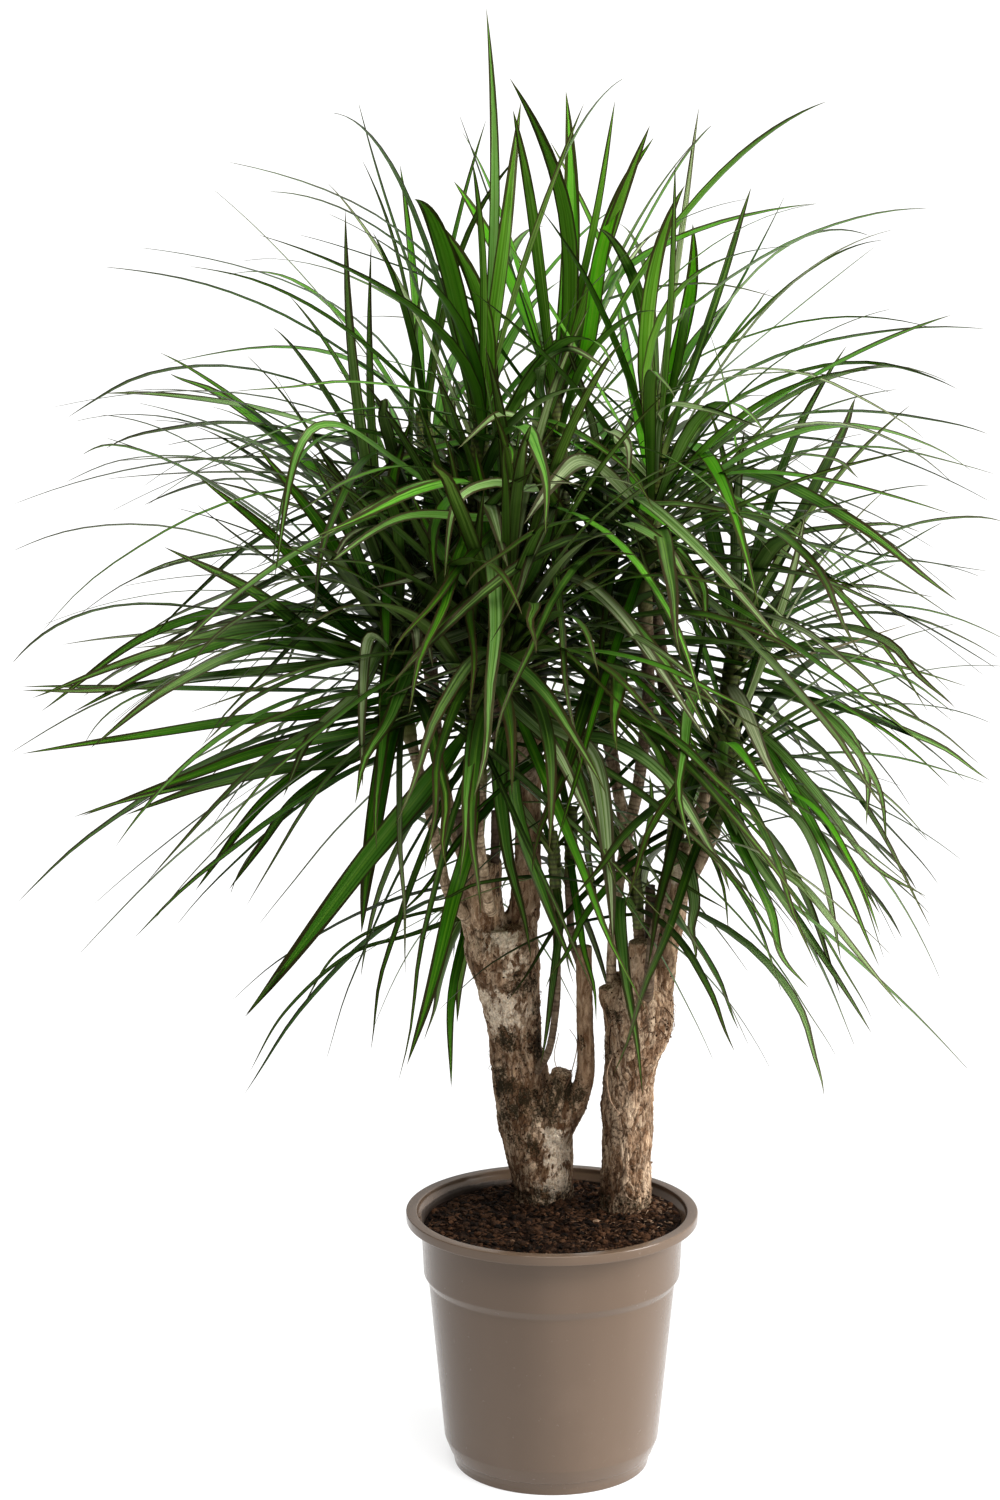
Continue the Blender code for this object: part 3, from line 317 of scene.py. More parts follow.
def step(mat, kind, inputs=None, **settings):
    """a shader node of a material or of the world, with its inputs set or linked"""
    node = mat.node_tree.nodes.new("ShaderNode" + kind)
    for name, value in settings.items():
        setattr(node, name, value)
    for name, value in (inputs or {}).items():
        if isinstance(value, bpy.types.NodeSocket):
            join(mat, value, node.inputs[name])
        else:
            node.inputs[name].default_value = value
    return node


def maths(mat, operation, *values):
    return step(mat, "Math", dict(enumerate(values)), operation=operation).outputs[0]


def product(mat, first, second):
    return maths(mat, "MULTIPLY", first, second)


def weighted(mat, *terms):
    """the sum of values, each times its weight"""
    total = product(mat, *terms[0])
    for term in terms[1:]:
        total = maths(mat, "ADD", total, product(mat, *term))
    return total


def ramp_of(mat, value, low, high, out_low=0.0, out_high=1.0):
    """a smooth step of a value between two limits"""
    return step(mat, "MapRange", {"Value": value, "From Min": low, "From Max": high, "To Min": out_low,
                                  "To Max": out_high}, interpolation_type="SMOOTHSTEP").outputs["Result"]


def blend_of(mat, share, *colours):
    """the first colour where share is 0 and the second where it is 1"""
    values = [value if isinstance(value, bpy.types.NodeSocket) else (*value, 1) for value in colours]
    return step(mat, "Mix", {0: share, 6: values[0], 7: values[1]}, data_type="RGBA").outputs[2]


def between(mat, value, low, high, first, second):
    """the first colour where a value is at its low limit and the second where it is at its high one"""
    return blend_of(mat, ramp_of(mat, value, low, high), first, second)


def layered(mat, tint, *layers):
    """colours laid over a tint: (value, low, high, share, colour), with no share where the value is low"""
    for value, low, high, share, colour in layers:
        tint = blend_of(mat, ramp_of(mat, value, low, high, 0.0, share), tint, colour)
    return tint


def attribute_of(mat, name):
    """a number that each point of the mesh carries"""
    return step(mat, "Attribute", attribute_name=name).outputs["Fac"]


def place_of(mat, scale=(1, 1, 1)):
    """Object coordinates, stretched"""
    where = step(mat, "TexCoord").outputs["Object"]
    return step(mat, "Mapping", {"Vector": where, "Scale": scale}).outputs["Vector"]


def noise_of(mat, where, scale, detail=4.0, roughness=0.6, distortion=0.0):
    return step(mat, "TexNoise", {"Vector": where, "Scale": scale, "Detail": detail, "Roughness": roughness,
                                  "Distortion": distortion}).outputs["Fac"]


def bump_of(mat, height, strength, distance, below=None):
    inputs = {"Height": height, "Strength": strength, "Distance": distance}
    if below:
        inputs["Normal"] = below
    return step(mat, "Bump", inputs).outputs["Normal"]


def warped(mat, where, scale, amount):
    """coordinates pushed about by a noise"""
    node = step(mat, "TexNoise", {"Vector": where, "Scale": scale, "Detail": 3.0})
    centred = step(mat, "VectorMath", {0: node.outputs["Color"], 1: (0.5, 0.5, 0.5)}, operation="SUBTRACT")
    push = step(mat, "VectorMath", {0: centred.outputs[0], "Scale": amount}, operation="SCALE")
    return step(mat, "VectorMath", {0: where, 1: push.outputs[0]}, operation="ADD").outputs[0]


def flakes_of(mat, where, scale):
    """a random number for each cell of a mosaic, and the distance to the cell's edge"""
    cell = step(mat, "TexVoronoi", {"Vector": where, "Scale": scale})
    edge = step(mat, "TexVoronoi", {"Vector": where, "Scale": scale}, feature="DISTANCE_TO_EDGE")
    number = step(mat, "SeparateXYZ", {"Vector": cell.outputs["Color"]}).outputs["X"]
    return number, edge.outputs["Distance"]


def dress(mat, shader, tint, normal=None, roughness=None):
    """gives a shader its colour, and its relief and roughness where there are any"""
    for name, source in (("Base Color", tint), ("Normal", normal), ("Roughness", roughness)):
        if source:
            join(mat, source, shader.inputs[name])
    return mat


def show_mix(mat, share, first, second, output="Material Output"):
    """makes a mix of two shaders what is seen"""
    mix = step(mat, "MixShader", {0: share, 1: first.outputs[0], 2: second.outputs[0]})
    join(mat, mix.outputs[0], mat.node_tree.nodes[output].inputs["Surface"])


def pot_finish():
    """satin taupe plastic, clouded a little, with faint upright flow marks, fine scuffs, soil dust inside and
    painted shade on the inner wall below the rim
    """
    mat, shader = finish_of("taupe_plastic", 0.2)
    where = place_of(mat)
    flow = noise_of(mat, place_of(mat, (1, 1, 0.08)), 14.0, 2.0)
    cloud = noise_of(mat, where, 16.0, 4.0)
    scuffs = noise_of(mat, where, 150.0, 6.0, 0.7)
    specks = noise_of(mat, where, 60.0, 6.0, 0.7)
    # painted shade on the inner wall below the rim, heaviest on the left, broken up by specks that stand for
    # soil dust
    shade_and_dust_spread = maths(mat, "ADD", attribute_of(mat, "inside"), product(mat, specks, 0.9))
    shade_and_dust = ramp_of(mat, shade_and_dust_spread, 0.85, 1.35, 0.0, 0.9)
    tint = between(mat, flow, 0.3, 0.7, (0.126, 0.087, 0.060), (0.139, 0.097, 0.068))
    tint = layered(mat, tint,
                   (cloud, 0.5, 0.8, 0.30, (0.170, 0.120, 0.086)),
                   (scuffs, 0.70, 0.84, 0.25, (0.20, 0.150, 0.112)))
    tint = blend_of(mat, shade_and_dust, tint, (0.020, 0.011, 0.006))
    worn = maths(mat, "ADD", ramp_of(mat, scuffs, 0.35, 0.80, 0.17, 0.30), product(mat, shade_and_dust, 0.5))
    return dress(mat, shader, tint, bump_of(mat, flow, 0.10, 0.0012), worn)


def soil_finish():
    """dark moist peat with redder patches, painted nearly black where its crumb relief is low, as painted
    shade between its crumbs
    """
    mat, shader = finish_of("peat", 0.9, 0.2)
    where = place_of(mat)
    crumb = noise_of(mat, where, 330.0, 8.0, 0.75)
    patch = noise_of(mat, where, 22.0, 3.0)
    fleck = noise_of(mat, where, 700.0, 2.0, 0.4)
    # painted shade: the colour follows the crumb relief and is nearly black in its hollows
    tint = between(mat, crumb, 0.42, 0.72, (0.0030, 0.0012, 0.0005), (0.058, 0.024, 0.0100))
    tint = layered(mat, tint,
                   (patch, 0.45, 0.7, 0.35, (0.055, 0.019, 0.007)),
                   (fleck, 0.70, 0.80, 1.0, (0.26, 0.165, 0.10)))
    return dress(mat, shader, tint, bump_of(mat, crumb, 1.0, 0.003))


def crumb_finish():
    """bits of bark, root and fibre on the peat, each with its own tone, the strewn bits painted lighter
    towards the right as painted light
    """
    mat, shader = finish_of("peat_bits", 0.85, 0.2)
    tone = attribute_of(mat, "tone")
    grain = noise_of(mat, place_of(mat), 500.0, 4.0)
    tint = between(mat, tone, 0.0, 0.60, (0.0045, 0.0022, 0.0010), (0.080, 0.038, 0.0180))
    tint = layered(mat, tint,
                   (tone, 0.62, 1.1, 1.0, (0.46, 0.32, 0.22)),
                   (grain, 0.4, 0.7, 0.5, (0.010, 0.006, 0.003)))
    return dress(mat, shader, tint)


def bark_finish():
    """scaly bark: brown flakes of many tones between dark cracks, cream patches with ragged edges, dark
    moss, smoother young bark and bare cut ends"""
    mat, shader = finish_of("bark", 0.9, 0.25)
    relief, scale, age, pale, moss, cut = [attribute_of(mat, name) for name in BARK_MARKS]
    streaks = noise_of(mat, place_of(mat, (1, 1, 0.3)), 150.0, 8.0, 0.75, 0.8)
    specks = noise_of(mat, place_of(mat), 420.0, 5.0, 0.7)
    broad = noise_of(mat, place_of(mat, (1, 1, 0.5)), 24.0, 5.0, 0.7, 1.0)
    mosaic = warped(mat, place_of(mat, (1, 1, 0.34)), 60.0, 0.014)
    flake, flake_edge = flakes_of(mat, mosaic, 150.0)
    chip, chip_edge = flakes_of(mat, mosaic, 380.0)
    old = between(mat, streaks, 0.36, 0.64, (0.170, 0.092, 0.046), (0.560, 0.385, 0.250))
    old = layered(mat, old,
                  (flake, 0.55, 0.95, 0.60, (0.740, 0.560, 0.400)),
                  (flake, 0.40, 0.05, 0.65, (0.165, 0.082, 0.038)),
                  (chip, 0.65, 1.0, 0.50, (0.760, 0.590, 0.430)),
                  (chip, 0.30, 0.0, 0.60, (0.110, 0.054, 0.025)),
                  (scale, 0.50, 0.85, 0.60, (0.720, 0.560, 0.400)),
                  (broad, 0.52, 0.38, 0.60, (0.140, 0.072, 0.035)))
    young = between(mat, streaks, 0.34, 0.66, (0.190, 0.105, 0.056), (0.500, 0.345, 0.220))
    young = layered(mat, young, (chip, 0.5, 1.0, 0.3, (0.620, 0.455, 0.310)))
    ragged = weighted(mat, (pale, 0.46), (broad, 0.60), (chip, 0.18), (flake, 0.20), (streaks, 0.45))
    patched = ramp_of(mat, ragged, 0.86, 1.06, 0.0, 0.92)
    cream = between(mat, specks, 0.35, 0.65, (0.660, 0.500, 0.350), (1.000, 0.890, 0.730))
    tint = blend_of(mat, patched, blend_of(mat, age, young, old), cream)
    rift = ramp_of(mat, flake_edge, 0.0, 0.08, 0.9, 0.0)
    rift = maths(mat, "MAXIMUM", rift, ramp_of(mat, chip_edge, 0.0, 0.08, 0.4, 0.0))
    rift = product(mat, product(mat, rift, ramp_of(mat, streaks, 0.60, 0.42)), age)
    crack = maths(mat, "MAXIMUM", rift, ramp_of(mat, relief, 0.15, 0.52, 0.8, 0.0))
    crack = product(mat, crack, ramp_of(mat, patched, 0.0, 0.9, 1.0, 0.4))
    shade = maths(mat, "ADD", specks, ramp_of(mat, broad, 0.50, 0.36, 0.0, 0.10))
    mossy = maths(mat, "ADD", weighted(mat, (moss, 0.34), (chip, 0.16)), shade)
    tint = layered(mat, blend_of(mat, crack, tint, (0.036, 0.018, 0.009)),
                   (mossy, 0.76, 0.98, 0.90, (0.020, 0.016, 0.004)),
                   (specks, 0.60, 0.72, 0.60, (0.660, 0.500, 0.360)),
                   (specks, 0.40, 0.28, 0.70, (0.024, 0.013, 0.006)))
    wood = between(mat, specks, 0.4, 0.6, (0.20, 0.13, 0.08), (0.60, 0.46, 0.32))
    lifted = product(mat, ramp_of(mat, flake_edge, 0.0, 0.2), ramp_of(mat, chip_edge, 0.0, 0.2, 0.4, 1.0))
    rough = bump_of(mat, streaks, 1.0, 0.0020)
    rough = bump_of(mat, product(mat, lifted, age), 0.8, 0.0010, rough)
    rough = bump_of(mat, specks, 0.9, 0.0009, rough)
    return dress(mat, shader, blend_of(mat, cut, tint, wood), rough)


def cane_finish():
    """young bark: pale brown with fine rings where leaves have dropped, greener towards the head, darker on
    dead canes and sprouts, and darkened high up as painted shade under the crown
    """
    mat, shader = finish_of("cane_bark", 0.75, 0.3)
    along, ring, dark = [attribute_of(mat, name) for name in CANE_MARKS]
    blotch = noise_of(mat, place_of(mat, (1, 1, 0.5)), 210.0, 6.0, 0.7)
    broad = noise_of(mat, place_of(mat), 34.0, 3.0)
    tint = between(mat, blotch, 0.36, 0.62, (0.210, 0.140, 0.085), (0.640, 0.495, 0.345))
    tint = layered(mat, tint, (broad, 0.42, 0.65, 0.5, (0.180, 0.115, 0.062)))
    # the dark mark: the darker bark of dead canes and sprouts, and painted shade high up under the crown
    tint = blend_of(mat, product(mat, dark, 0.85), tint, (0.050, 0.030, 0.018))
    tint = layered(mat, tint,
                   (ring, 0.8, 0.1, 0.6, (0.040, 0.022, 0.012)),
                   (along, 0.85, 1.0, 0.8, (0.12, 0.15, 0.03)))
    return dress(mat, shader, tint, bump_of(mat, blotch, 0.8, 0.0010))


def leaf_finish():
    """glossy green leaf with long faint veins, dark red-brown margins and a paler underside, with painted
    shade and light in its tone and a pale grey-green painted sheen on some leaves
    """
    mat, shader = finish_of("leaf", 0.36, 0.26)
    shader.inputs["Specular Tint"].default_value = (0.90, 1.0, 0.62, 1)
    leaf_map = step(mat, "UVMap", uv_map="leaf_map").outputs["UV"]
    split = step(mat, "SeparateXYZ", {"Vector": leaf_map})
    across, along = split.outputs["X"], split.outputs["Y"]
    tone, dry, painted_sheen = [attribute_of(mat, name) for name in LEAF_MARKS]
    under = maths(mat, "GREATER_THAN", across, 1.0)
    folded = product(mat, maths(mat, "FRACT", across), 2.0)
    off_rib = maths(mat, "ABSOLUTE", maths(mat, "SUBTRACT", folded, 1.0))
    lines = step(mat, "CombineXYZ", {"X": product(mat, across, 9.0), "Y": product(mat, along, 1.5),
                                     "Z": product(mat, tone, 40.0)}).outputs["Vector"]
    veins = noise_of(mat, lines, 1.0, 1.5, 0.5)
    blotch = noise_of(mat, place_of(mat), 22.0, 3.0)
    keel = between(mat, veins, 0.35, 0.7, (0.075, 0.145, 0.014), (0.150, 0.240, 0.040))
    sheen_tint = between(mat, veins, 0.3, 0.7, (0.120, 0.150, 0.060), (0.470, 0.510, 0.330))
    husk = between(mat, veins, 0.3, 0.7, (0.24, 0.16, 0.08), (0.44, 0.35, 0.22))
    # the tone carries painted shade and light along with each leaf's own shade of green
    tint = between(mat, tone, 0.0, 1.0, (0.010, 0.034, 0.0010), (0.055, 0.245, 0.0025))
    tint = layered(mat, tint,
                   (tone, 1.0, 1.5, 0.7, (0.085, 0.360, 0.0060)),
                   (blotch, 0.40, 0.70, 0.4, (0.048, 0.160, 0.0020)),
                   (veins, 0.50, 0.72, 0.5, (0.145, 0.300, 0.024)),
                   (veins, 0.48, 0.30, 0.6, (0.009, 0.032, 0.0010)),
                   (off_rib, 0.15, 0.0, 0.4, (0.150, 0.310, 0.016)))
    tint = blend_of(mat, product(mat, under, 0.55), tint, keel)
    edge = maths(mat, "ADD", off_rib, ramp_of(mat, along, 0.50, 1.0, 0.0, 0.60))
    # painted sheen: a pale grey-green laid over the colour, standing in for reflections of the white surround
    tint = layered(mat, blend_of(mat, painted_sheen, tint, sheen_tint),
                   (along, 0.12, 0.0, 0.8, (0.24, 0.28, 0.09)),
                   (edge, 0.74, 0.88, 0.9, (0.034, 0.016, 0.009)))
    tint = layered(mat, blend_of(mat, dry, tint, husk), (along, 0.94, 1.0, 0.8, (0.050, 0.028, 0.014)))
    ribbed = bump_of(mat, veins, 0.4, 0.0006)
    lit = blend_of(mat, 0.4, tint, (0.110, 0.370, 0.004))
    show_mix(mat, 0.27, shader, step(mat, "BsdfTranslucent", {"Normal": ribbed, "Color": lit}))
    return dress(mat, shader, tint, ribbed, ramp_of(mat, veins, 0.2, 0.8, 0.28, 0.42))


def stem_finish():
    """the leafy stem between the leaves: pale green sheaths with brown edges"""
    mat, shader = finish_of("leafy_stem", 0.55, 0.4)
    grain = noise_of(mat, place_of(mat, (1, 1, 0.2)), 420.0, 4.0)
    tint = between(mat, grain, 0.35, 0.65, (0.060, 0.095, 0.012), (0.150, 0.175, 0.040))
    return dress(mat, shader, layered(mat, tint, (attribute_of(mat, "ring"), 0.8, 0.1, 0.7,
                                                  (0.045, 0.032, 0.012))))


# Shapes

def mesh_of(bm, name):
    """the mesh of a bmesh, which is freed"""
    mesh = bpy.data.meshes.new(name)
    bm.to_mesh(mesh)
    bm.free()
    return mesh


def linked(name, data):
    """a new object in the scene"""
    obj = bpy.data.objects.new(name, data)
    bpy.context.scene.collection.objects.link(obj)
    return obj


def new_piece(name, bm, mats):
    """a finished mesh as a piece of the object, in place"""
    obj = linked(name, mesh_of(bm, name))
    for mat in mats:
        obj.data.materials.append(mat)
    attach(obj, "root")
    return obj


def bake(obj):
    """applies an object's modifiers"""
    bpy.context.view_layer.update()
    graph = bpy.context.evaluated_depsgraph_get()
    mesh = bpy.data.meshes.new_from_object(obj.evaluated_get(graph))
    obj.modifiers.clear()
    obj.data = mesh


def smooth_route(points, step_length):
    """points (x, y, z, radius) on a smooth curve through the given ones"""
    knots = [np.array(p) for p in points]
    knots = [2 * knots[0] - knots[1]] + knots + [2 * knots[-1] - knots[-2]]
    route = []
    for a, b, c, d in zip(knots, knots[1:], knots[2:], knots[3:]):
        count = max(1, round(np.linalg.norm((c - b)[:3]) / step_length))
        for i in range(count):
            t = i / count
            route.append(0.5 * (2 * b + (c - a) * t + (2 * a - 5 * b + 4 * c - d) * t ** 2
                                + (3 * b - a - 3 * c + d) * t ** 3))
    route.append(knots[-2])
    return route


def first_ring(bm, sides, placing):
    """the capped circle that a tube starts from: its vertices and edges"""
    ring = bmesh.ops.create_circle(bm, cap_ends=True, segments=sides, radius=1, matrix=placing)["verts"]
    return ring, list({edge for vertex in ring for edge in vertex.link_edges})


def next_ring(bm, edges):
    """draws a tube's last edges out: the new vertices and edges"""
    grown = bmesh.ops.extrude_edge_only(bm, edges=edges)["geom"]
    ring = [item for item in grown if isinstance(item, bmesh.types.BMVert)]
    return ring, [item for item in grown if isinstance(item, bmesh.types.BMEdge)]


def sweep(bm, route, sides):
    """a closed tube along points (x, y, z, radius), drawn out ring by ring; returns its rings"""
    spots = [Vector(p[:3]) for p in route]
    side = Vector((1, 0, 0))
    rings = []
    for i, spot in enumerate(spots):
        tangent = (spots[min(i + 1, len(spots) - 1)] - spots[max(i - 1, 0)]).normalized()
        side = (side - tangent * side.dot(tangent)).normalized()
        turn = Matrix((side, tangent.cross(side), tangent)).transposed().to_4x4()
        placing = Matrix.Translation(spot) @ turn @ Matrix.Scale(max(float(route[i][3]), 0.00005), 4)
        if rings:
            ring, edges = next_ring(bm, edges)
            bmesh.ops.transform(bm, matrix=placing @ placed.inverted(), verts=ring)
        else:
            ring, edges = first_ring(bm, sides, placing)
        rings.append(ring)
        placed = placing
    bmesh.ops.contextual_create(bm, geom=edges)
    return rings


def turned(bm, profile, sides, rounding=0.0, corners=()):
    """spins a profile of (radius, height) points round Z; the named corners are rounded first"""
    points = [bm.verts.new((r, 0, z)) for r, z in profile]
    for pair in zip(points, points[1:]):
        bm.edges.new(pair)
    if rounding:
        bmesh.ops.bevel(bm, geom=[points[i] for i in corners], affect="VERTICES", offset=rounding,
                        offset_type="OFFSET", segments=4, profile=0.5, material=-1)
    bmesh.ops.spin(bm, geom=bm.verts[:] + bm.edges[:], cent=(0, 0, 0), axis=(0, 0, 1), dvec=(0, 0, 0),
                   angle=math.tau, steps=sides, use_merge=True, use_duplicate=False)
    bmesh.ops.remove_doubles(bm, verts=bm.verts, dist=0.00002)
    bmesh.ops.recalc_face_normals(bm, faces=bm.faces)


def shade_smooth(obj, angle=None):
    """smooth shading, with edges sharper than the angle left sharp"""
    for face in obj.data.polygons:
        face.use_smooth = True
    if angle:
        bm = bmesh.new()
        bm.from_mesh(obj.data)
        for edge in bm.edges:
            edge.smooth = not (len(edge.link_faces) == 2 and edge.calc_face_angle() > angle)
        bm.to_mesh(obj.data)
        bm.free()


def attribute(obj, name, values):
    """a number for each point of a mesh, for its material"""
    layer = obj.data.attributes.new(name, "FLOAT", "POINT")
    layer.data.foreach_set("value", np.array(values, np.float32))


def number_layers(bm, names):
    """layers for such numbers in a mesh that is still being built"""
    return [bm.verts.layers.float.new(name) for name in names]


# Pot

def inner_radius(z):
    """inside radius of the pot's wall at a height"""
    radii, heights = zip(BODY_FOOT, BODY_TOP, COLLAR_FOOT, COLLAR_TOP)
    return float(np.interp(z, heights, radii)) - WALL


def inner_shade_and_dust(point):
    """how strongly painted shade, with some soil dust, darkens a point: 1 on the inside of the wall, down to
    0 at the rim, a quarter as much on the right
    """
    radius = math.hypot(point.x, point.y)
    if point.z < BODY_FOOT[1] + 0.002 or radius > inner_radius(point.z) + 0.5 * WALL:
        return 0.0
    # the painted shade is four times as strong on the left, where the inner wall is out of the light
    left = smooth_step(0.03, -0.09, point.x)
    return smooth_step(POT_HEIGHT - 0.0005, POT_HEIGHT - 0.006, point.z) * (0.25 + 0.75 * left)


def make_pot():
    """the pot, turned from its profile with small moulded radii, with drain holes through its base"""
    channel_in, channel_out = CHANNEL
    inside = [(r - WALL, z) for r, z in (BODY_FOOT, BODY_TOP, COLLAR_FOOT, COLLAR_TOP)]
    rim = [(MOUTH_RADIUS - 0.0005, POT_HEIGHT - 0.004), (MOUTH_RADIUS, POT_HEIGHT),
           (RIM_RADIUS, POT_HEIGHT), (RIM_RADIUS - 0.0002, POT_HEIGHT - RIM_DEPTH)]
    foot = [(0.0945, 0.0125), (0.0925, 0.0115), (FOOT_RADIUS, 0)]
    channel = [(channel_out + 0.001, 0), (channel_out, CHANNEL_DEPTH), (channel_in, CHANNEL_DEPTH),
               (channel_in - 0.001, 0)]
    profile = [(0, FLOOR), (FLOOR_EDGE, FLOOR), *inside, *rim, COLLAR_TOP, COLLAR_FOOT, BODY_TOP, BODY_FOOT,
               *foot, *channel, (0, 0)]
    bm = bmesh.new()
    turned(bm, profile, POT_SIDES, MOULDED, range(1, len(profile) - 1))
    pot = new_piece("nursery_pot", bm, [pot_finish()])
    middle = (channel_in + channel_out) / 2
    drills = bmesh.new()
    for k in range(DRAIN_HOLES):
        angle = math.tau * (k + 0.3) / DRAIN_HOLES
        spot = Matrix.Translation((middle * math.cos(angle), middle * math.sin(angle), 0))
        bmesh.ops.create_cone(drills, cap_ends=True, segments=24, radius1=DRAIN_RADIUS, radius2=DRAIN_RADIUS,
                              depth=4 * FLOOR, matrix=spot)
    drill = linked("drills", mesh_of(drills, "drills"))
    cut = pot.modifiers.new("drain_holes", "BOOLEAN")
    cut.operation = "DIFFERENCE"
    cut.object = drill
    bake(pot)
    bpy.data.objects.remove(drill)
    attribute(pot, "inside", [inner_shade_and_dust(vertex.co) for vertex in pot.data.vertices])
    shade_smooth(pot, math.radians(32))
    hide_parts("pot")


# Soil

def soil_height(x, y):
    """height of the soil's surface: a shallow mound, lower on the left, with soft lumps"""
    r = math.hypot(x, y) / MOUTH_RADIUS
    lumps = 0.0012 * math.sin(70 * x + 1.0) * math.cos(60 * y - 0.5)
    return SOIL_TOP + 0.003 * (1 - r * r) + SOIL_TILT * x + lumps


def crumbled(x, y):
    """height of the peat's surface with its clods and crumbs"""
    spot = Vector((x, y, 0))
    clods = noise.voronoi(spot * 95)[0]
    crumbs = noise.voronoi(spot * 260)[0]
    return (soil_height(x, y) + 0.0016 * noise.noise(spot * 38) + 0.0030 * (0.42 - clods[0])
            + 0.0013 * (0.42 - crumbs[0]))


def make_soil():
    """the peat in the pot, with a crumbled surface"""
    edge = inner_radius(SOIL_TOP) - GAP
    top = [(edge * i / SOIL_RINGS, SOIL_TOP) for i in range(SOIL_RINGS + 1)]
    wall = [(r - WALL - GAP, z) for r, z in (COLLAR_FOOT, BODY_TOP, BODY_FOOT)]
    bm = bmesh.new()
    turned(bm, [*top, *wall, (FLOOR_EDGE - GAP, FLOOR + GAP), (0, FLOOR + GAP)], SOIL_SIDES)
    for vertex in bm.verts:
        x, y, z = vertex.co
        if z > SOIL_TOP - 0.001:
            r = math.hypot(x, y)
            settle = smooth_step(edge, edge - 0.006, r)
            vertex.co.z = soil_height(x, y) * (1 - settle) + crumbled(x, y) * settle
            if r > edge - 0.0005:
                shrink = (inner_radius(vertex.co.z) - GAP) / r
                vertex.co.x, vertex.co.y = x * shrink, y * shrink
    soil = new_piece("peat", bm, [soil_finish()])
    shade_smooth(soil)
    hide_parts("soil")


def clear_of_trunks(x, y, margin):
    return all(math.hypot(x - trunk[1][0], y - trunk[1][1]) > trunk[1][3] + margin
               for trunk in (TRUNK_LEFT, TRUNK_RIGHT))


def blank_of(shape, **settings):
    """a small unbent mesh to strew copies of"""
    bm = bmesh.new()
    shape(bm, **settings)
    bmesh.ops.recalc_face_normals(bm, faces=bm.faces)
    return mesh_of(bm, "blank")


def crumb_blank():
    return blank_of(bmesh.ops.create_icosphere, subdivisions=1, radius=1)


def fibre_blank():
    """a three-sided thread one unit long"""
    return blank_of(sweep, route=[(0, 0, i / 4, 1.0) for i in range(5)], sides=3)


def strew(bm, blank, tone, place):
    """adds a copy of a blank, with each of its points put in its place and given its tone, raised towards the
    right as painted light
    """
    start = len(bm.verts)
    bm.from_mesh(blank)
    bm.verts.ensure_lookup_table()
    layer = bm.verts.layers.float["tone"]
    for vertex in bm.verts[start:]:
        vertex.co = place(vertex.co)
        # painted light: each bit's tone is raised towards the right (+X), the side the main light falls from
        vertex[layer] = tone * (0.8 + 0.5 * smooth_step(0.0, 0.10, vertex.co.x))


def crumpled(centre, size, amount):
    """puts the points of a blank round a centre, each pushed about; size is a number or a matrix"""
    return lambda p: centre + size @ (p + noise.noise_vector(p * 3 + centre * 900) * amount)


def threaded(start, axes, length, bend, hump, width, reach=math.inf):
    """puts the points of the fibre blank on a thread that is bent aside and humped up between its ends,
    and that stays within reach of the pot's axis"""
    ahead, aside, up = axes

    def place(p):
        t = p.z - 0.5
        centre = start + ahead * (length * t) + aside * (bend * (0.5 - 2 * t * t))
        centre += up * (hump * (1 - 4 * t * t))
        inside = min(1.0, reach / max(math.hypot(centre.x, centre.y), 0.001))
        return Vector((centre.x * inside, centre.y * inside, centre.z)) + (aside * p.x + up * p.y) * width

    return place


def lying(draw, tilt):
    """a random turn about Z after a small tilt"""
    around = Matrix.Rotation(draw.uniform(0, math.tau), 3, "Z")
    return around @ Matrix.Rotation(draw.uniform(-tilt, tilt), 3, "X")


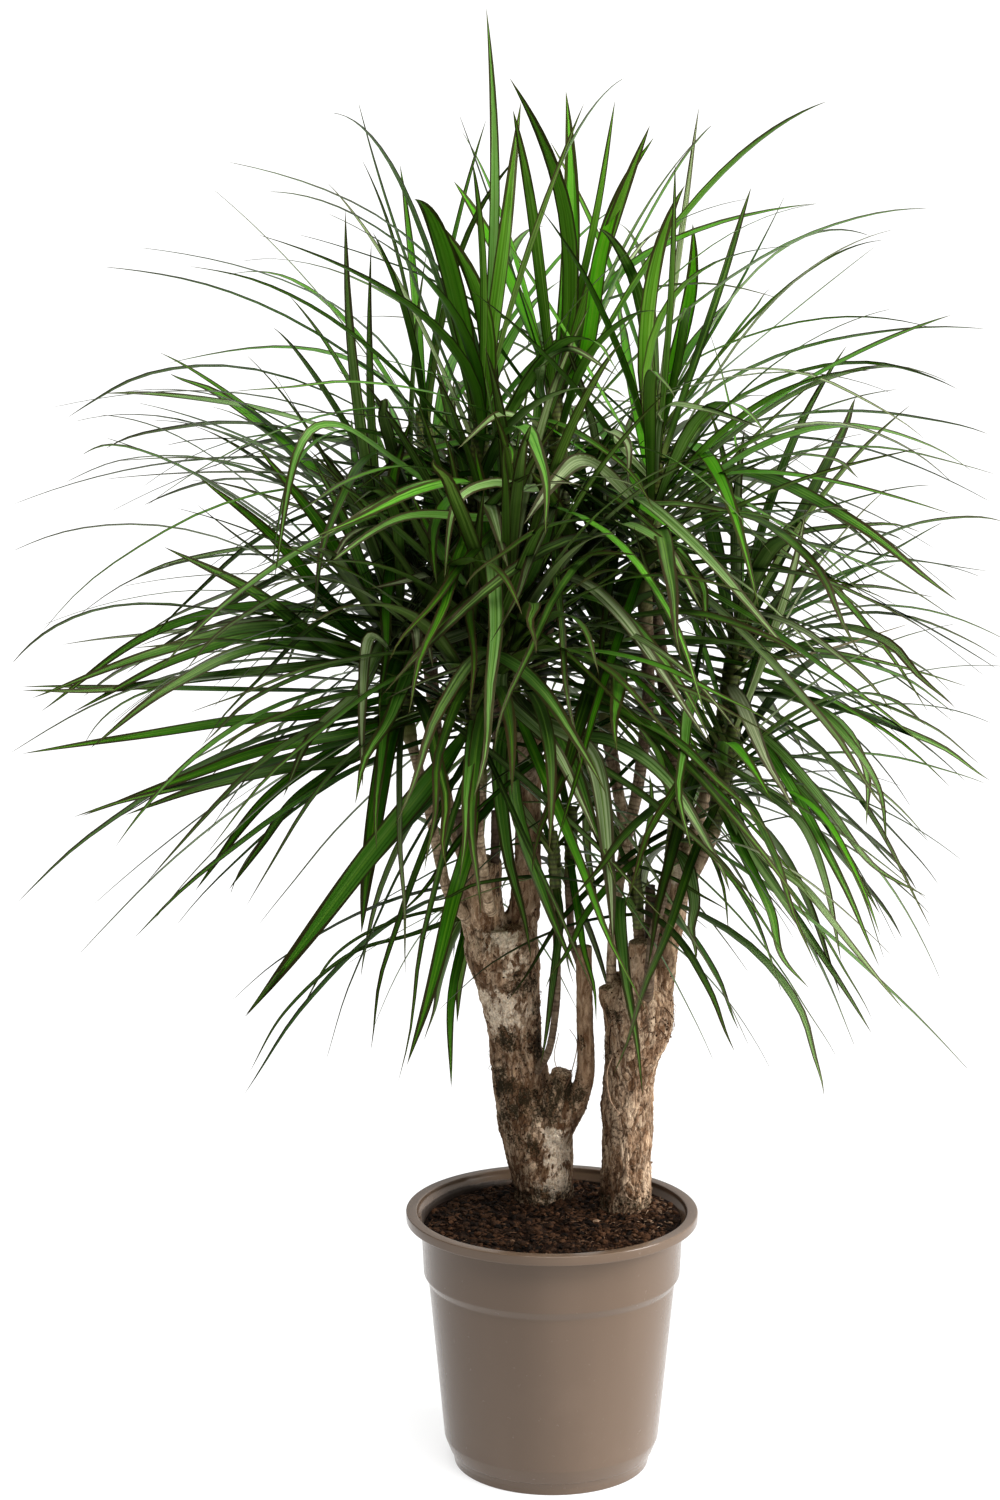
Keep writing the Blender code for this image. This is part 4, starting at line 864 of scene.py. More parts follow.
def make_soil_bits():
    """crumbs, bark chips, fibres and a few pale grains that lie on the peat, heaped a little at the trunks"""
    draw = Random("peat bits")
    bm = bmesh.new()
    number_layers(bm, ["tone"])
    crumb, fibre = crumb_blank(), fibre_blank()
    chip = blank_of(bmesh.ops.create_cube, size=1)
    reach = inner_radius(SOIL_TOP) - 0.004

    def spot():
        while True:
            r, angle = reach * math.sqrt(draw.random()), draw.uniform(0, math.tau)
            x, y = r * math.cos(angle), r * math.sin(angle)
            if clear_of_trunks(x, y, -0.002):
                return x, y, crumbled(x, y)

    def spot_at_trunk(number):
        x, y, _, radius = (TRUNK_LEFT if number % 2 else TRUNK_RIGHT)[1]
        angle, out = draw.uniform(0, math.tau), abs(draw.gauss(0, 0.006))
        x += (radius + 0.001 + out) * math.cos(angle)
        y += (radius + 0.001 + out) * math.sin(angle)
        return x, y, crumbled(x, y) + 0.003 * smooth_step(0.008, 0, out) * draw.random()

    for i in range(CRUMBS):
        x, y, z = spot() if i > HEAPED_CRUMBS else spot_at_trunk(i)
        size = 0.0008 + 0.0026 * draw.random() ** 1.6
        shape = Matrix.Diagonal((draw.uniform(0.7, 1.6), draw.uniform(0.7, 1.3), draw.uniform(0.5, 0.9)))
        place = crumpled(Vector((x, y, z + size * 0.25)), lying(draw, 0.6) @ shape * size, 0.35)
        strew(bm, crumb, draw.uniform(0, 0.64) if draw.random() < 0.985 else draw.uniform(0.75, 1), place)
    for _ in range(CHIPS):
        x, y, z = spot()
        shape = Matrix.Diagonal((draw.uniform(0.004, 0.010), draw.uniform(0.0013, 0.0030), 0.0008))
        centre, warp = Vector((x, y, z + 0.001)), lying(draw, 0.5) @ shape
        strew(bm, chip, draw.uniform(0.15, 0.70),
              lambda p: centre + warp @ p + noise.noise_vector(p + centre * 700) * 0.0009)
    for i in range(FIBRES):
        x, y, z = spot() if i > HEAPED_FIBRES else spot_at_trunk(i)
        angle, length = draw.uniform(0, math.tau), draw.uniform(0.004, 0.016)
        ahead = Vector((math.cos(angle), math.sin(angle), draw.uniform(-0.05, 0.12)))
        bend, hump = draw.uniform(-0.15, 0.15) * length, draw.uniform(0.0, 0.0016)
        place = threaded(Vector((x, y, z + 0.0003)), (ahead, Vector((-ahead.y, ahead.x, 0)), UP), length,
                         bend, hump, draw.uniform(0.00014, 0.00034), reach)
        strew(bm, fibre, draw.random() ** 1.3, place)
    new_piece("peat_bits", bm, [crumb_finish()])


# Trunks and canes

# Patches on the bark: (x, y, z, reach) of cream places and of mossy ones.
PALE_PATCHES = [(-0.046, 0.026, 0.424, 0.025), (-0.056, 0.033, 0.434, 0.018), (0.007, 0.030, 0.258, 0.019),
                (0.006, 0.029, 0.285, 0.019), (0.003, 0.029, 0.306, 0.014), (-0.045, 0.012, 0.496, 0.016),
                (-0.034, 0.015, 0.470, 0.011), (0.086, 0.004, 0.300, 0.006), (0.112, 0.000, 0.560, 0.014)]
MOSS_PATCHES = [(0.006, 0.025, 0.352, 0.024), (-0.006, 0.020, 0.328, 0.020), (-0.012, 0.040, 0.385, 0.016),
                (-0.016, 0.040, 0.425, 0.014), (-0.040, 0.028, 0.308, 0.016), (-0.022, 0.028, 0.298, 0.014),
                (-0.046, 0.034, 0.493, 0.012), (0.020, 0.020, 0.345, 0.016), (0.095, 0.005, 0.425, 0.020),
                (0.058, 0.010, 0.440, 0.014), (0.030, 0.020, 0.400, 0.010), (0.090, 0.010, 0.250, 0.010),
                (-0.048, 0.036, 0.354, 0.020), (-0.042, 0.034, 0.325, 0.019), (-0.032, 0.018, 0.452, 0.014),
                (-0.020, 0.025, 0.450, 0.013), (-0.043, 0.029, 0.395, 0.014), (-0.014, 0.034, 0.396, 0.017),
                (-0.020, 0.029, 0.344, 0.015), (0.054, -0.007, 0.428, 0.014), (0.050, 0.005, 0.390, 0.011)]


def nearness(point, patches):
    """how deep a point is in the nearest patch, from 0 to 1, with the patch's outline frayed"""
    frayed = point + noise.noise_vector(point * 90) * 0.009 + noise.noise_vector(point * 260) * 0.004
    return max(smooth_step(reach * 1.5, reach * 0.2, (frayed - Vector((x, y, z))).length)
               for x, y, z, reach in patches)


def bark_relief(point, age):
    """how far the bark stands out at a point, how clear it is of cracks there, and its flake's own tone"""
    bent = point + noise.noise_vector(point * 35) * 0.007 + noise.noise_vector(point * 130) * 0.0025
    spans, seeds = noise.voronoi(Vector((bent.x, bent.y, bent.z * 0.34)) * 105)
    plate = min((spans[1] - spans[0]) / 0.16, 1.0)
    height = noise.noise(seeds[0] * 7.3)
    small, chips = noise.voronoi(Vector((bent.x, bent.y, bent.z * 0.55)) * 310)
    flake = min((small[1] - small[0]) / 0.34, 1.0)
    chip = noise.noise(chips[0] * 5.1)
    lumps = noise.noise(point * 40)
    grain = noise.noise(Vector((bent.x, bent.y, bent.z * 0.12)) * 420)
    old = age * (0.0020 * lumps + 0.0007 * (plate - 0.7) + 0.0012 * height + 0.0006 * (flake - 0.6)
                 + 0.0008 * chip)
    young = (1 - age) * 0.0004 * grain
    clear = 1 - age * (1 - (0.45 + 0.55 * plate) * (0.35 + 0.65 * flake))
    tone = 0.5 + age * (0.45 * height + 0.55 * chip) + 0.25 * grain
    return old + young, clear, tone


def bark_age(z, radius):
    """1 on the old trunk, less on the younger forks and on thin limbs"""
    return (1.0 - 0.5 * smooth_step(0.49, 0.60, z)) * smooth_step(0.003, 0.017, radius)


def sawn_off(point, normal, ends):
    """whether a point of the bark lies on the cut end of a limb"""
    for tip, axis, radius in ends:
        away = point - tip
        if away.length < radius * 1.25 and away.dot(axis) > -0.0018 and normal.dot(axis) > 0.5:
            return True
    return False


def melted_limbs(name, routes, mat):
    """tubes along the routes, melted into one another"""
    bm = bmesh.new()
    for route in routes:
        sweep(bm, route, TRUNK_SIDES)
    bmesh.ops.recalc_face_normals(bm, faces=bm.faces)
    bark = new_piece(name, bm, [mat])
    melt = bark.modifiers.new("melt", "REMESH")
    melt.mode = "VOXEL"
    melt.voxel_size = BARK_VOXEL
    bake(bark)
    return bark


def make_bark(name, trunk, limbs, node, mat):
    """a trunk with its forks, melted into one another, then given its plates and cracks"""
    forks = [points for limb, points in limbs.items() if limb not in THIN_LIMBS]
    routes = [[trunk[0]] + smooth_route(trunk[1:], 0.008)] + [smooth_route(points, 0.006) for points in forks]
    ends = []
    for points in forks:
        tip, before = Vector(points[-1][:3]), Vector(points[-2][:3])
        ends.append((tip, (tip - before).normalized(), points[-1][3]))
    spots = [spot for route in routes for spot in route]
    axes = KDTree(len(spots))
    for index, spot in enumerate(spots):
        axes.insert(Vector(spot[:3]), index)
    axes.balance()
    bark = melted_limbs(name, routes, mat)
    bm = bmesh.new()
    bm.from_mesh(bark.data)
    for _ in range(5):
        bmesh.ops.smooth_vert(bm, verts=bm.verts, factor=0.5, use_axis_x=True, use_axis_y=True,
                              use_axis_z=True)
    bm.normal_update()
    marks = {key: [] for key in BARK_MARKS}
    moved = []
    for vertex in bm.verts:
        point, normal = vertex.co.copy(), vertex.normal.copy()
        sawn = sawn_off(point, normal, ends)
        radius = max(spots[index][3] for _, index, _ in axes.find_n(point, 3))
        age = bark_age(point.z, radius)
        out, clear, tone = bark_relief(point, age)
        moved.append(point + normal * (out * 0.25 if sawn else out))
        dirt = 0.9 * smooth_step(0.264, 0.246, point.z + 0.008 * noise.noise(point * 70))
        moss = max(dirt, nearness(point, MOSS_PATCHES))
        values = (1.0 if sawn else clear, tone, age, nearness(point, PALE_PATCHES), moss, float(sawn))
        for key, value in zip(BARK_MARKS, values):
            marks[key].append(value)
    for vertex, place in zip(bm.verts, moved):
        vertex.co = place
    bm.to_mesh(bark.data)
    bm.free()
    for key, values in marks.items():
        attribute(bark, key, values)
    shade_smooth(bark)
    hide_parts(node)
    return bark


def make_bark_bits(name, bark):
    """crumbs and short fibres that cling to a trunk, most of them in its mossy places"""
    draw = Random(name)
    bm = bmesh.new()
    number_layers(bm, ["tone"])
    crumb, fibre = crumb_blank(), fibre_blank()
    vertices, moss = bark.data.vertices, bark.data.attributes["moss"].data
    placed = 0
    while placed < CLINGING_BITS:
        index = draw.randrange(len(vertices))
        point, normal = vertices[index].co, vertices[index].normal
        if draw.random() > 0.02 + moss[index].value or point.z < SOIL_TOP:
            continue
        placed += 1
        if placed % 3:
            size = draw.uniform(0.0004, 0.0012)
            place = crumpled(point + normal * size * 0.1, Matrix.Scale(size, 3), 0.5)
            strew(bm, crumb, draw.uniform(0.2, 0.75), place)
        else:
            ahead = normal.cross(Vector((draw.uniform(-1, 1), draw.uniform(-1, 1), draw.uniform(-0.5, 0.5))))
            ahead.normalize()
            length = draw.uniform(0.003, 0.009)
            hump, bend = draw.uniform(0.0, 0.0018), draw.uniform(-0.25, 0.25) * length
            place = threaded(point + normal * 0.0006, (ahead, normal.cross(ahead), normal), length, bend,
                             hump, draw.uniform(0.00012, 0.00026))
            strew(bm, fibre, draw.uniform(0.35, 1.0), place)
    new_piece(name, bm, [crumb_finish()])


# Thin roots that hang on the trunks: points (x, y, z, radius) and their tone.
ROOTLETS = [
    ([(0.056, -0.002, 0.392, 0.0007), (0.050, -0.006, 0.375, 0.0008), (0.053, -0.005, 0.350, 0.0007),
      (0.062, -0.004, 0.335, 0.0004)], 0.95),
    ([(0.058, -0.002, 0.430, 0.0006), (0.053, -0.004, 0.415, 0.0007), (0.052, -0.003, 0.392, 0.0006)], 0.25),
    ([(0.012, 0.018, 0.352, 0.0005), (0.018, 0.010, 0.372, 0.0005), (0.023, 0.012, 0.398, 0.0004),
      (0.016, 0.012, 0.412, 0.0003)], 0.75),
    ([(0.008, 0.020, 0.362, 0.0004), (0.002, 0.014, 0.385, 0.0004), (0.006, 0.012, 0.408, 0.0003)], 0.85),
    ([(0.090, -0.012, 0.432, 0.0007), (0.099, -0.012, 0.427, 0.0007), (0.108, -0.006, 0.418, 0.0004)], 0.85),
    ([(0.088, -0.014, 0.425, 0.0006), (0.098, -0.012, 0.418, 0.0006), (0.106, -0.006, 0.407, 0.0004)], 0.70),
    ([(0.092, -0.012, 0.440, 0.0006), (0.103, -0.008, 0.437, 0.0006), (0.111, -0.002, 0.425, 0.0004)], 0.60),
    ([(0.082, -0.018, 0.418, 0.0006), (0.092, -0.014, 0.428, 0.0006), (0.104, -0.006, 0.430, 0.0004)], 0.75),
]


def make_rootlets():
    """thin bare roots on the trunks and at the knob"""
    bm = bmesh.new()
    layer = number_layers(bm, ["tone"])[0]
    for points, tone in ROOTLETS:
        for ring in sweep(bm, smooth_route(points, 0.003), 6):
            for vertex in ring:
                vertex[layer] = tone
    bmesh.ops.recalc_face_normals(bm, faces=bm.faces)
    shade_smooth(new_piece("rootlets", bm, [crumb_finish()]))


def ringed_route(points, step_length, depth):
    """a route with a groove at every other step, of uneven depth"""
    draw = Random("%.4f" % points[0][0])
    ringed = []
    for i, (x, y, z, radius) in enumerate(smooth_route(points, step_length)):
        swell = 1 + 0.035 * draw.uniform(-1, 1)
        groove = 0 if i % 2 else depth * draw.uniform(0.4, 1.3)
        ringed.append((x, y, z, radius * (swell - groove)))
    return ringed


def make_canes(name, side, limbs, node, mat):
    """the thin canes of one trunk, ringed where leaves have dropped"""
    draw = Random(name)
    canes = bmesh.new()
    number_layers(canes, CANE_MARKS)
    routes = [(points, 0.0, 1.0) for limb, points in limbs.items() if limb in THIN_LIMBS]
    for head in HEADS.values():
        if head.trunk == side and head.cane:
            routes.append((cane_route(head), 1.0, 0.8 if head.small else draw.uniform(0, 0.25)))
    for points, greening, dark in routes:
        bm = bmesh.new()
        along_layer, ring_layer, dark_and_shade_layer = number_layers(bm, CANE_MARKS)
        rings = sweep(bm, ringed_route(points, CANE_RING, 0.05), CANE_SIDES)
        for i, ring in enumerate(rings):
            worn = 1.0 if i % 2 else draw.uniform(0.0, 0.8)
            for vertex in ring:
                vertex[along_layer] = greening * i / (len(rings) - 1)
                vertex[ring_layer] = worn
                # painted shade: canes are darkened above 0.58 m, where they run in under the crown
                vertex[dark_and_shade_layer] = max(dark, 0.7 * smooth_step(0.58, 0.70, vertex.co.z))
        bmesh.ops.recalc_face_normals(bm, faces=bm.faces)
        cane = mesh_of(bm, "cane")
        canes.from_mesh(cane)
        bpy.data.meshes.remove(cane)
    piece = new_piece(name, canes, [mat])
    shade_smooth(piece)
    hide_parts(node)


def cane_route(head):
    """the cane's points, with a straight end that meets the head's leafy stem face to face"""
    axis, end = head.axis(), head.foot - head.axis() * GAP
    radius = head.radius * 0.75
    straight = [(*(end - axis * 0.012), radius), (*end, radius)]
    return smooth_route([*head.cane, straight[0]], 0.05)[:-1] + straight


# How the leaves grow

class Blank:
    """an unbent solid leaf, three-sided, with its points and faces as lists"""

    def __init__(self, cuts):
        bm = bmesh.new()
        bmesh.ops.create_cone(bm, cap_ends=True, segments=3, radius1=1, radius2=0, depth=1)
        bmesh.ops.translate(bm, verts=bm.verts, vec=(0, 0, 0.5))
        bmesh.ops.remove_doubles(bm, verts=bm.verts, dist=0.0001)
        for cut in cuts:
            bmesh.ops.bisect_plane(bm, geom=bm.verts[:] + bm.edges[:] + bm.faces[:], dist=0.00001,
                                   plane_co=(0, 0, cut), plane_no=(0, 0, 1))
        bmesh.ops.triangulate(bm, faces=bm.faces)
        bmesh.ops.recalc_face_normals(bm, faces=bm.faces)
        bm.verts.index_update()
        self.points = [tuple(vertex.co) for vertex in bm.verts]
        self.faces = [tuple(vertex.index for vertex in face.verts) for face in bm.faces]
        self.outer = [f for f in self.faces if min(self.points[i][2] for i in f) > 0.05]
        bm.free()


class Leaf:
    """A leaf's middle line, a quadratic curve from its root to its tip, and the way its blade faces."""

    def __init__(self, root, tip, lift, push=0.0, roll=0.0, width=LEAF_WIDTH):
        self.root, self.tip = root, tip
        self.middle = (root + tip) / 2 + Vector((2 * push, 0, 2 * lift))
        out = Vector((tip.x - root.x, tip.y - root.y, 0))
        self.side = out.normalized().cross(UP)
        self.lift, self.roll, self.width = abs(lift), roll, width
        self.leading = False

    def point(self, t):
        return self.root * (1 - t) ** 2 + self.middle * 2 * t * (1 - t) + self.tip * t * t

    def frame(self, t):
        """the blade's tangent, side and face directions at a share of its length"""
        tangent = ((self.middle - self.root) * (1 - t) + (self.tip - self.middle) * t).normalized()
        side = (self.side - tangent * self.side.dot(tangent)).normalized()
        side = Matrix.Rotation(self.roll, 3, tangent) @ side
        return tangent, side, side.cross(tangent)

    def half_width(self, t):
        shares = (0, 0.3, 0.58, 0.82, 1)
        widths = (LEAF_ROOT_WIDTH, self.width * 0.95, self.width * 0.9, self.width * 0.5, 0)
        return float(np.interp(t, shares, widths)) / 2

    def thickness(self, t):
        return float(np.interp(t, (0, 0.6, 1), (LEAF_THICKNESS * 1.3, LEAF_THICKNESS, 0.0002)))

    def laid(self, blank, grow=0.0):
        """places of the blank's points on this leaf, made thicker all round by grow"""
        places = []
        for x, y, t in blank.points:
            _, side, face = self.frame(t)
            taper = max(1 - t, 0.0001)
            across = x / taper / math.sin(math.radians(60))
            down = (y / taper + 0.5) / 1.5
            width = self.half_width(t) + grow
            depth = self.thickness(t) * down + grow * (2 * down - 1)
            places.append(self.point(t) + side * (across * width) - face * depth)
        return places


class Thicket:
    """Everything that a new leaf has to stay clear of."""

    def __init__(self):
        self.lows, self.highs, self.trees, self.owners = [], [], [], []

    def add(self, owner, places, faces):
        array = np.array(places)
        self.lows.append(array.min(axis=0))
        self.highs.append(array.max(axis=0))
        self.trees.append(BVHTree.FromPolygons(places, faces))
        self.owners.append(owner)

    def meets(self, places, faces, skip=None, only=None):
        array = np.array(places)
        low, high = array.min(axis=0), array.max(axis=0)
        near = np.all(np.array(self.lows) <= high, axis=1) & np.all(np.array(self.highs) >= low, axis=1)
        tree = BVHTree.FromPolygons(places, faces)
        for i in np.nonzero(near)[0]:
            if self.owners[i] == skip or (only and self.owners[i] not in only):
                continue
            if tree.overlap(self.trees[i]):
                return True
        return False


def leading_leaf(head, lead, attempt):
    """a listed leaf, its tip moved in depth where it would run into another"""
    share, tip, lift, push = lead
    depth = DEPTH_STEP * ((attempt + 1) // 2) * (1 if attempt % 2 else -1)
    root = head.foot.lerp(head.top, share)
    tip = Vector(tip) + Vector((0, depth, 0.15 * abs(depth)))
    leaf = Leaf(root, tip, lift + 0.1 * depth, push, 0.0, LEAF_WIDTH * 1.08)
    leaf.leading = True
    return leaf


def in_crown(point):
    heights, radii = zip(*CROWN)
    x, y = point.x - CROWN_MIDDLE[0], point.y - CROWN_MIDDLE[1]
    return heights[0] < point.z < heights[-1] and math.hypot(x, y) < np.interp(point.z, heights, radii)


def ruled_leaf(head, index, count, attempt, seed):
    """a leaf of the spiral: the oldest hang from the foot of the head, the youngest stand at its top"""
    draw = Random("%s %d %d" % (seed, index, attempt))
    age = (index + 0.5) / count
    stray = 1 + 0.12 * attempt
    angle = index * GOLDEN_ANGLE + len(seed) + math.radians(draw.uniform(-9, 9) * stray)
    rise = head.lowest + (STEEPEST - head.lowest) * age ** 1.1 + draw.uniform(-6, 6) * stray
    rise = math.radians(max(rise, LOWEST))
    length = head.length * (0.80 + 0.28 * math.sin(math.pi * min(age + 0.1, 1))) * draw.uniform(0.85, 1.08)
    length *= 1 - 0.007 * attempt
    out = Vector((math.cos(angle), math.sin(angle), 0))
    chord = out * math.cos(rise) + UP * math.sin(rise)
    root = head.foot.lerp(head.top, 0.10 + 0.82 * age)
    while not in_crown(root + chord * length) and length > 0.1:
        length *= 0.95
    lift = length * draw.uniform(0.07, 0.21) * max(math.cos(rise), 0.2)
    push = length * draw.uniform(-0.05, 0.05)
    width = LEAF_WIDTH * draw.uniform(0.74, 1.08) * min(1.0, head.length / 0.34)
    return Leaf(root, root + chord * length, lift, push, math.radians(draw.uniform(-16, 16)), width)


def set_root(head, leaf):
    """moves the root a little out of the stem's middle, to the side where the leaf leaves it"""
    leaf.root = leaf.root + (leaf.tip - leaf.root).normalized() * (0.2 * head.radius)


def hides_forks(tip):
    """whether a further leaf would hang into the view of the forks or of the space beside them"""
    left, right, top = FORKS
    if left < tip.x < right:
        return tip.z < top and tip.y < 0.06
    return tip.z < (HANG_LEFT if tip.x < left else HANG_RIGHT)


def nearest_spot(leaf, x, z):
    """how near the outer half of a leaf comes to a place of the front view"""
    spots = [leaf.point(t) for t in (0.5, 0.6, 0.7, 0.8, 0.9)]
    return min(math.hypot(spot.x - x, spot.z - z) for spot in spots)


def unwanted(leaf):
    """whether a further leaf would reach too far back, hide the forks or fill an open place"""
    if leaf.tip.y > BACK_EDGE or hides_forks(leaf.tip):
        return True
    return any(nearest_spot(leaf, x, z) < 0.6 * reach for x, z, reach in AIRY_PLACES)


def filling_of(head):
    """how many further leaves a head would get all round, and how many of the oldest of them it does get:
    more in the heads inside the crown, and fewer at its top"""
    inner = smooth_step(0.14, 0.06, abs(head.foot.x)) * smooth_step(0.82, 0.74, head.foot.z)
    if head.small:
        inner = 0.0
    count = round(head.leaves * (FILLING + inner))
    filled = 0.25 if head.small else FILLED_SHARE * (1 - 0.55 * smooth_step(0.78, 0.90, head.foot.z))
    filled += (1 - filled) * inner
    return count, round(count * filled)


def grow_leaves(thicket, straight, arched):
    """places the leaves of all heads by the rule of the solid ones, then fills the heads with more"""
    grown = {key: [] for key in HEADS}

    def blank_for(leaf):
        return straight if leaf.lift < STRAIGHT_LIFT else arched

    def place(key, make, attempts):
        for attempt in range(attempts):
            leaf = make(attempt)
            set_root(HEADS[key], leaf)
            blank = blank_for(leaf)
            if thicket.meets(leaf.laid(blank, CLEARANCE), blank.faces, skip=key):
                continue
            strict = attempt < attempts * STRICT_SHARE
            if strict and thicket.meets(leaf.laid(blank), blank.outer, only=[key]):
                continue
            thicket.add(key, leaf.laid(blank), blank.faces)
            grown[key].append(leaf)
            return

    for key, head in HEADS.items():
        for lead in head.leads:
            place(key, lambda attempt: leading_leaf(head, lead, attempt), LEAD_TRIES)
    for index in range(max(head.leaves for head in HEADS.values())):
        for key, head in HEADS.items():
            count = head.leaves - len(head.leads)
            if index < count:
                place(key, lambda attempt: ruled_leaf(head, index, count, attempt, key), RULE_TRIES)
    for key, head in HEADS.items():
        count, wanted = filling_of(head)
        for index in range(wanted):
            for attempt in range(FILLING_TRIES):
                leaf = ruled_leaf(head, index, count, attempt, key + " more")
                set_root(head, leaf)
                blank = blank_for(leaf)
                if not unwanted(leaf) and not thicket.meets(leaf.laid(blank), blank.faces, only=WOODY):
                    grown[key].append(leaf)
                    break
    return grown


# Leaves

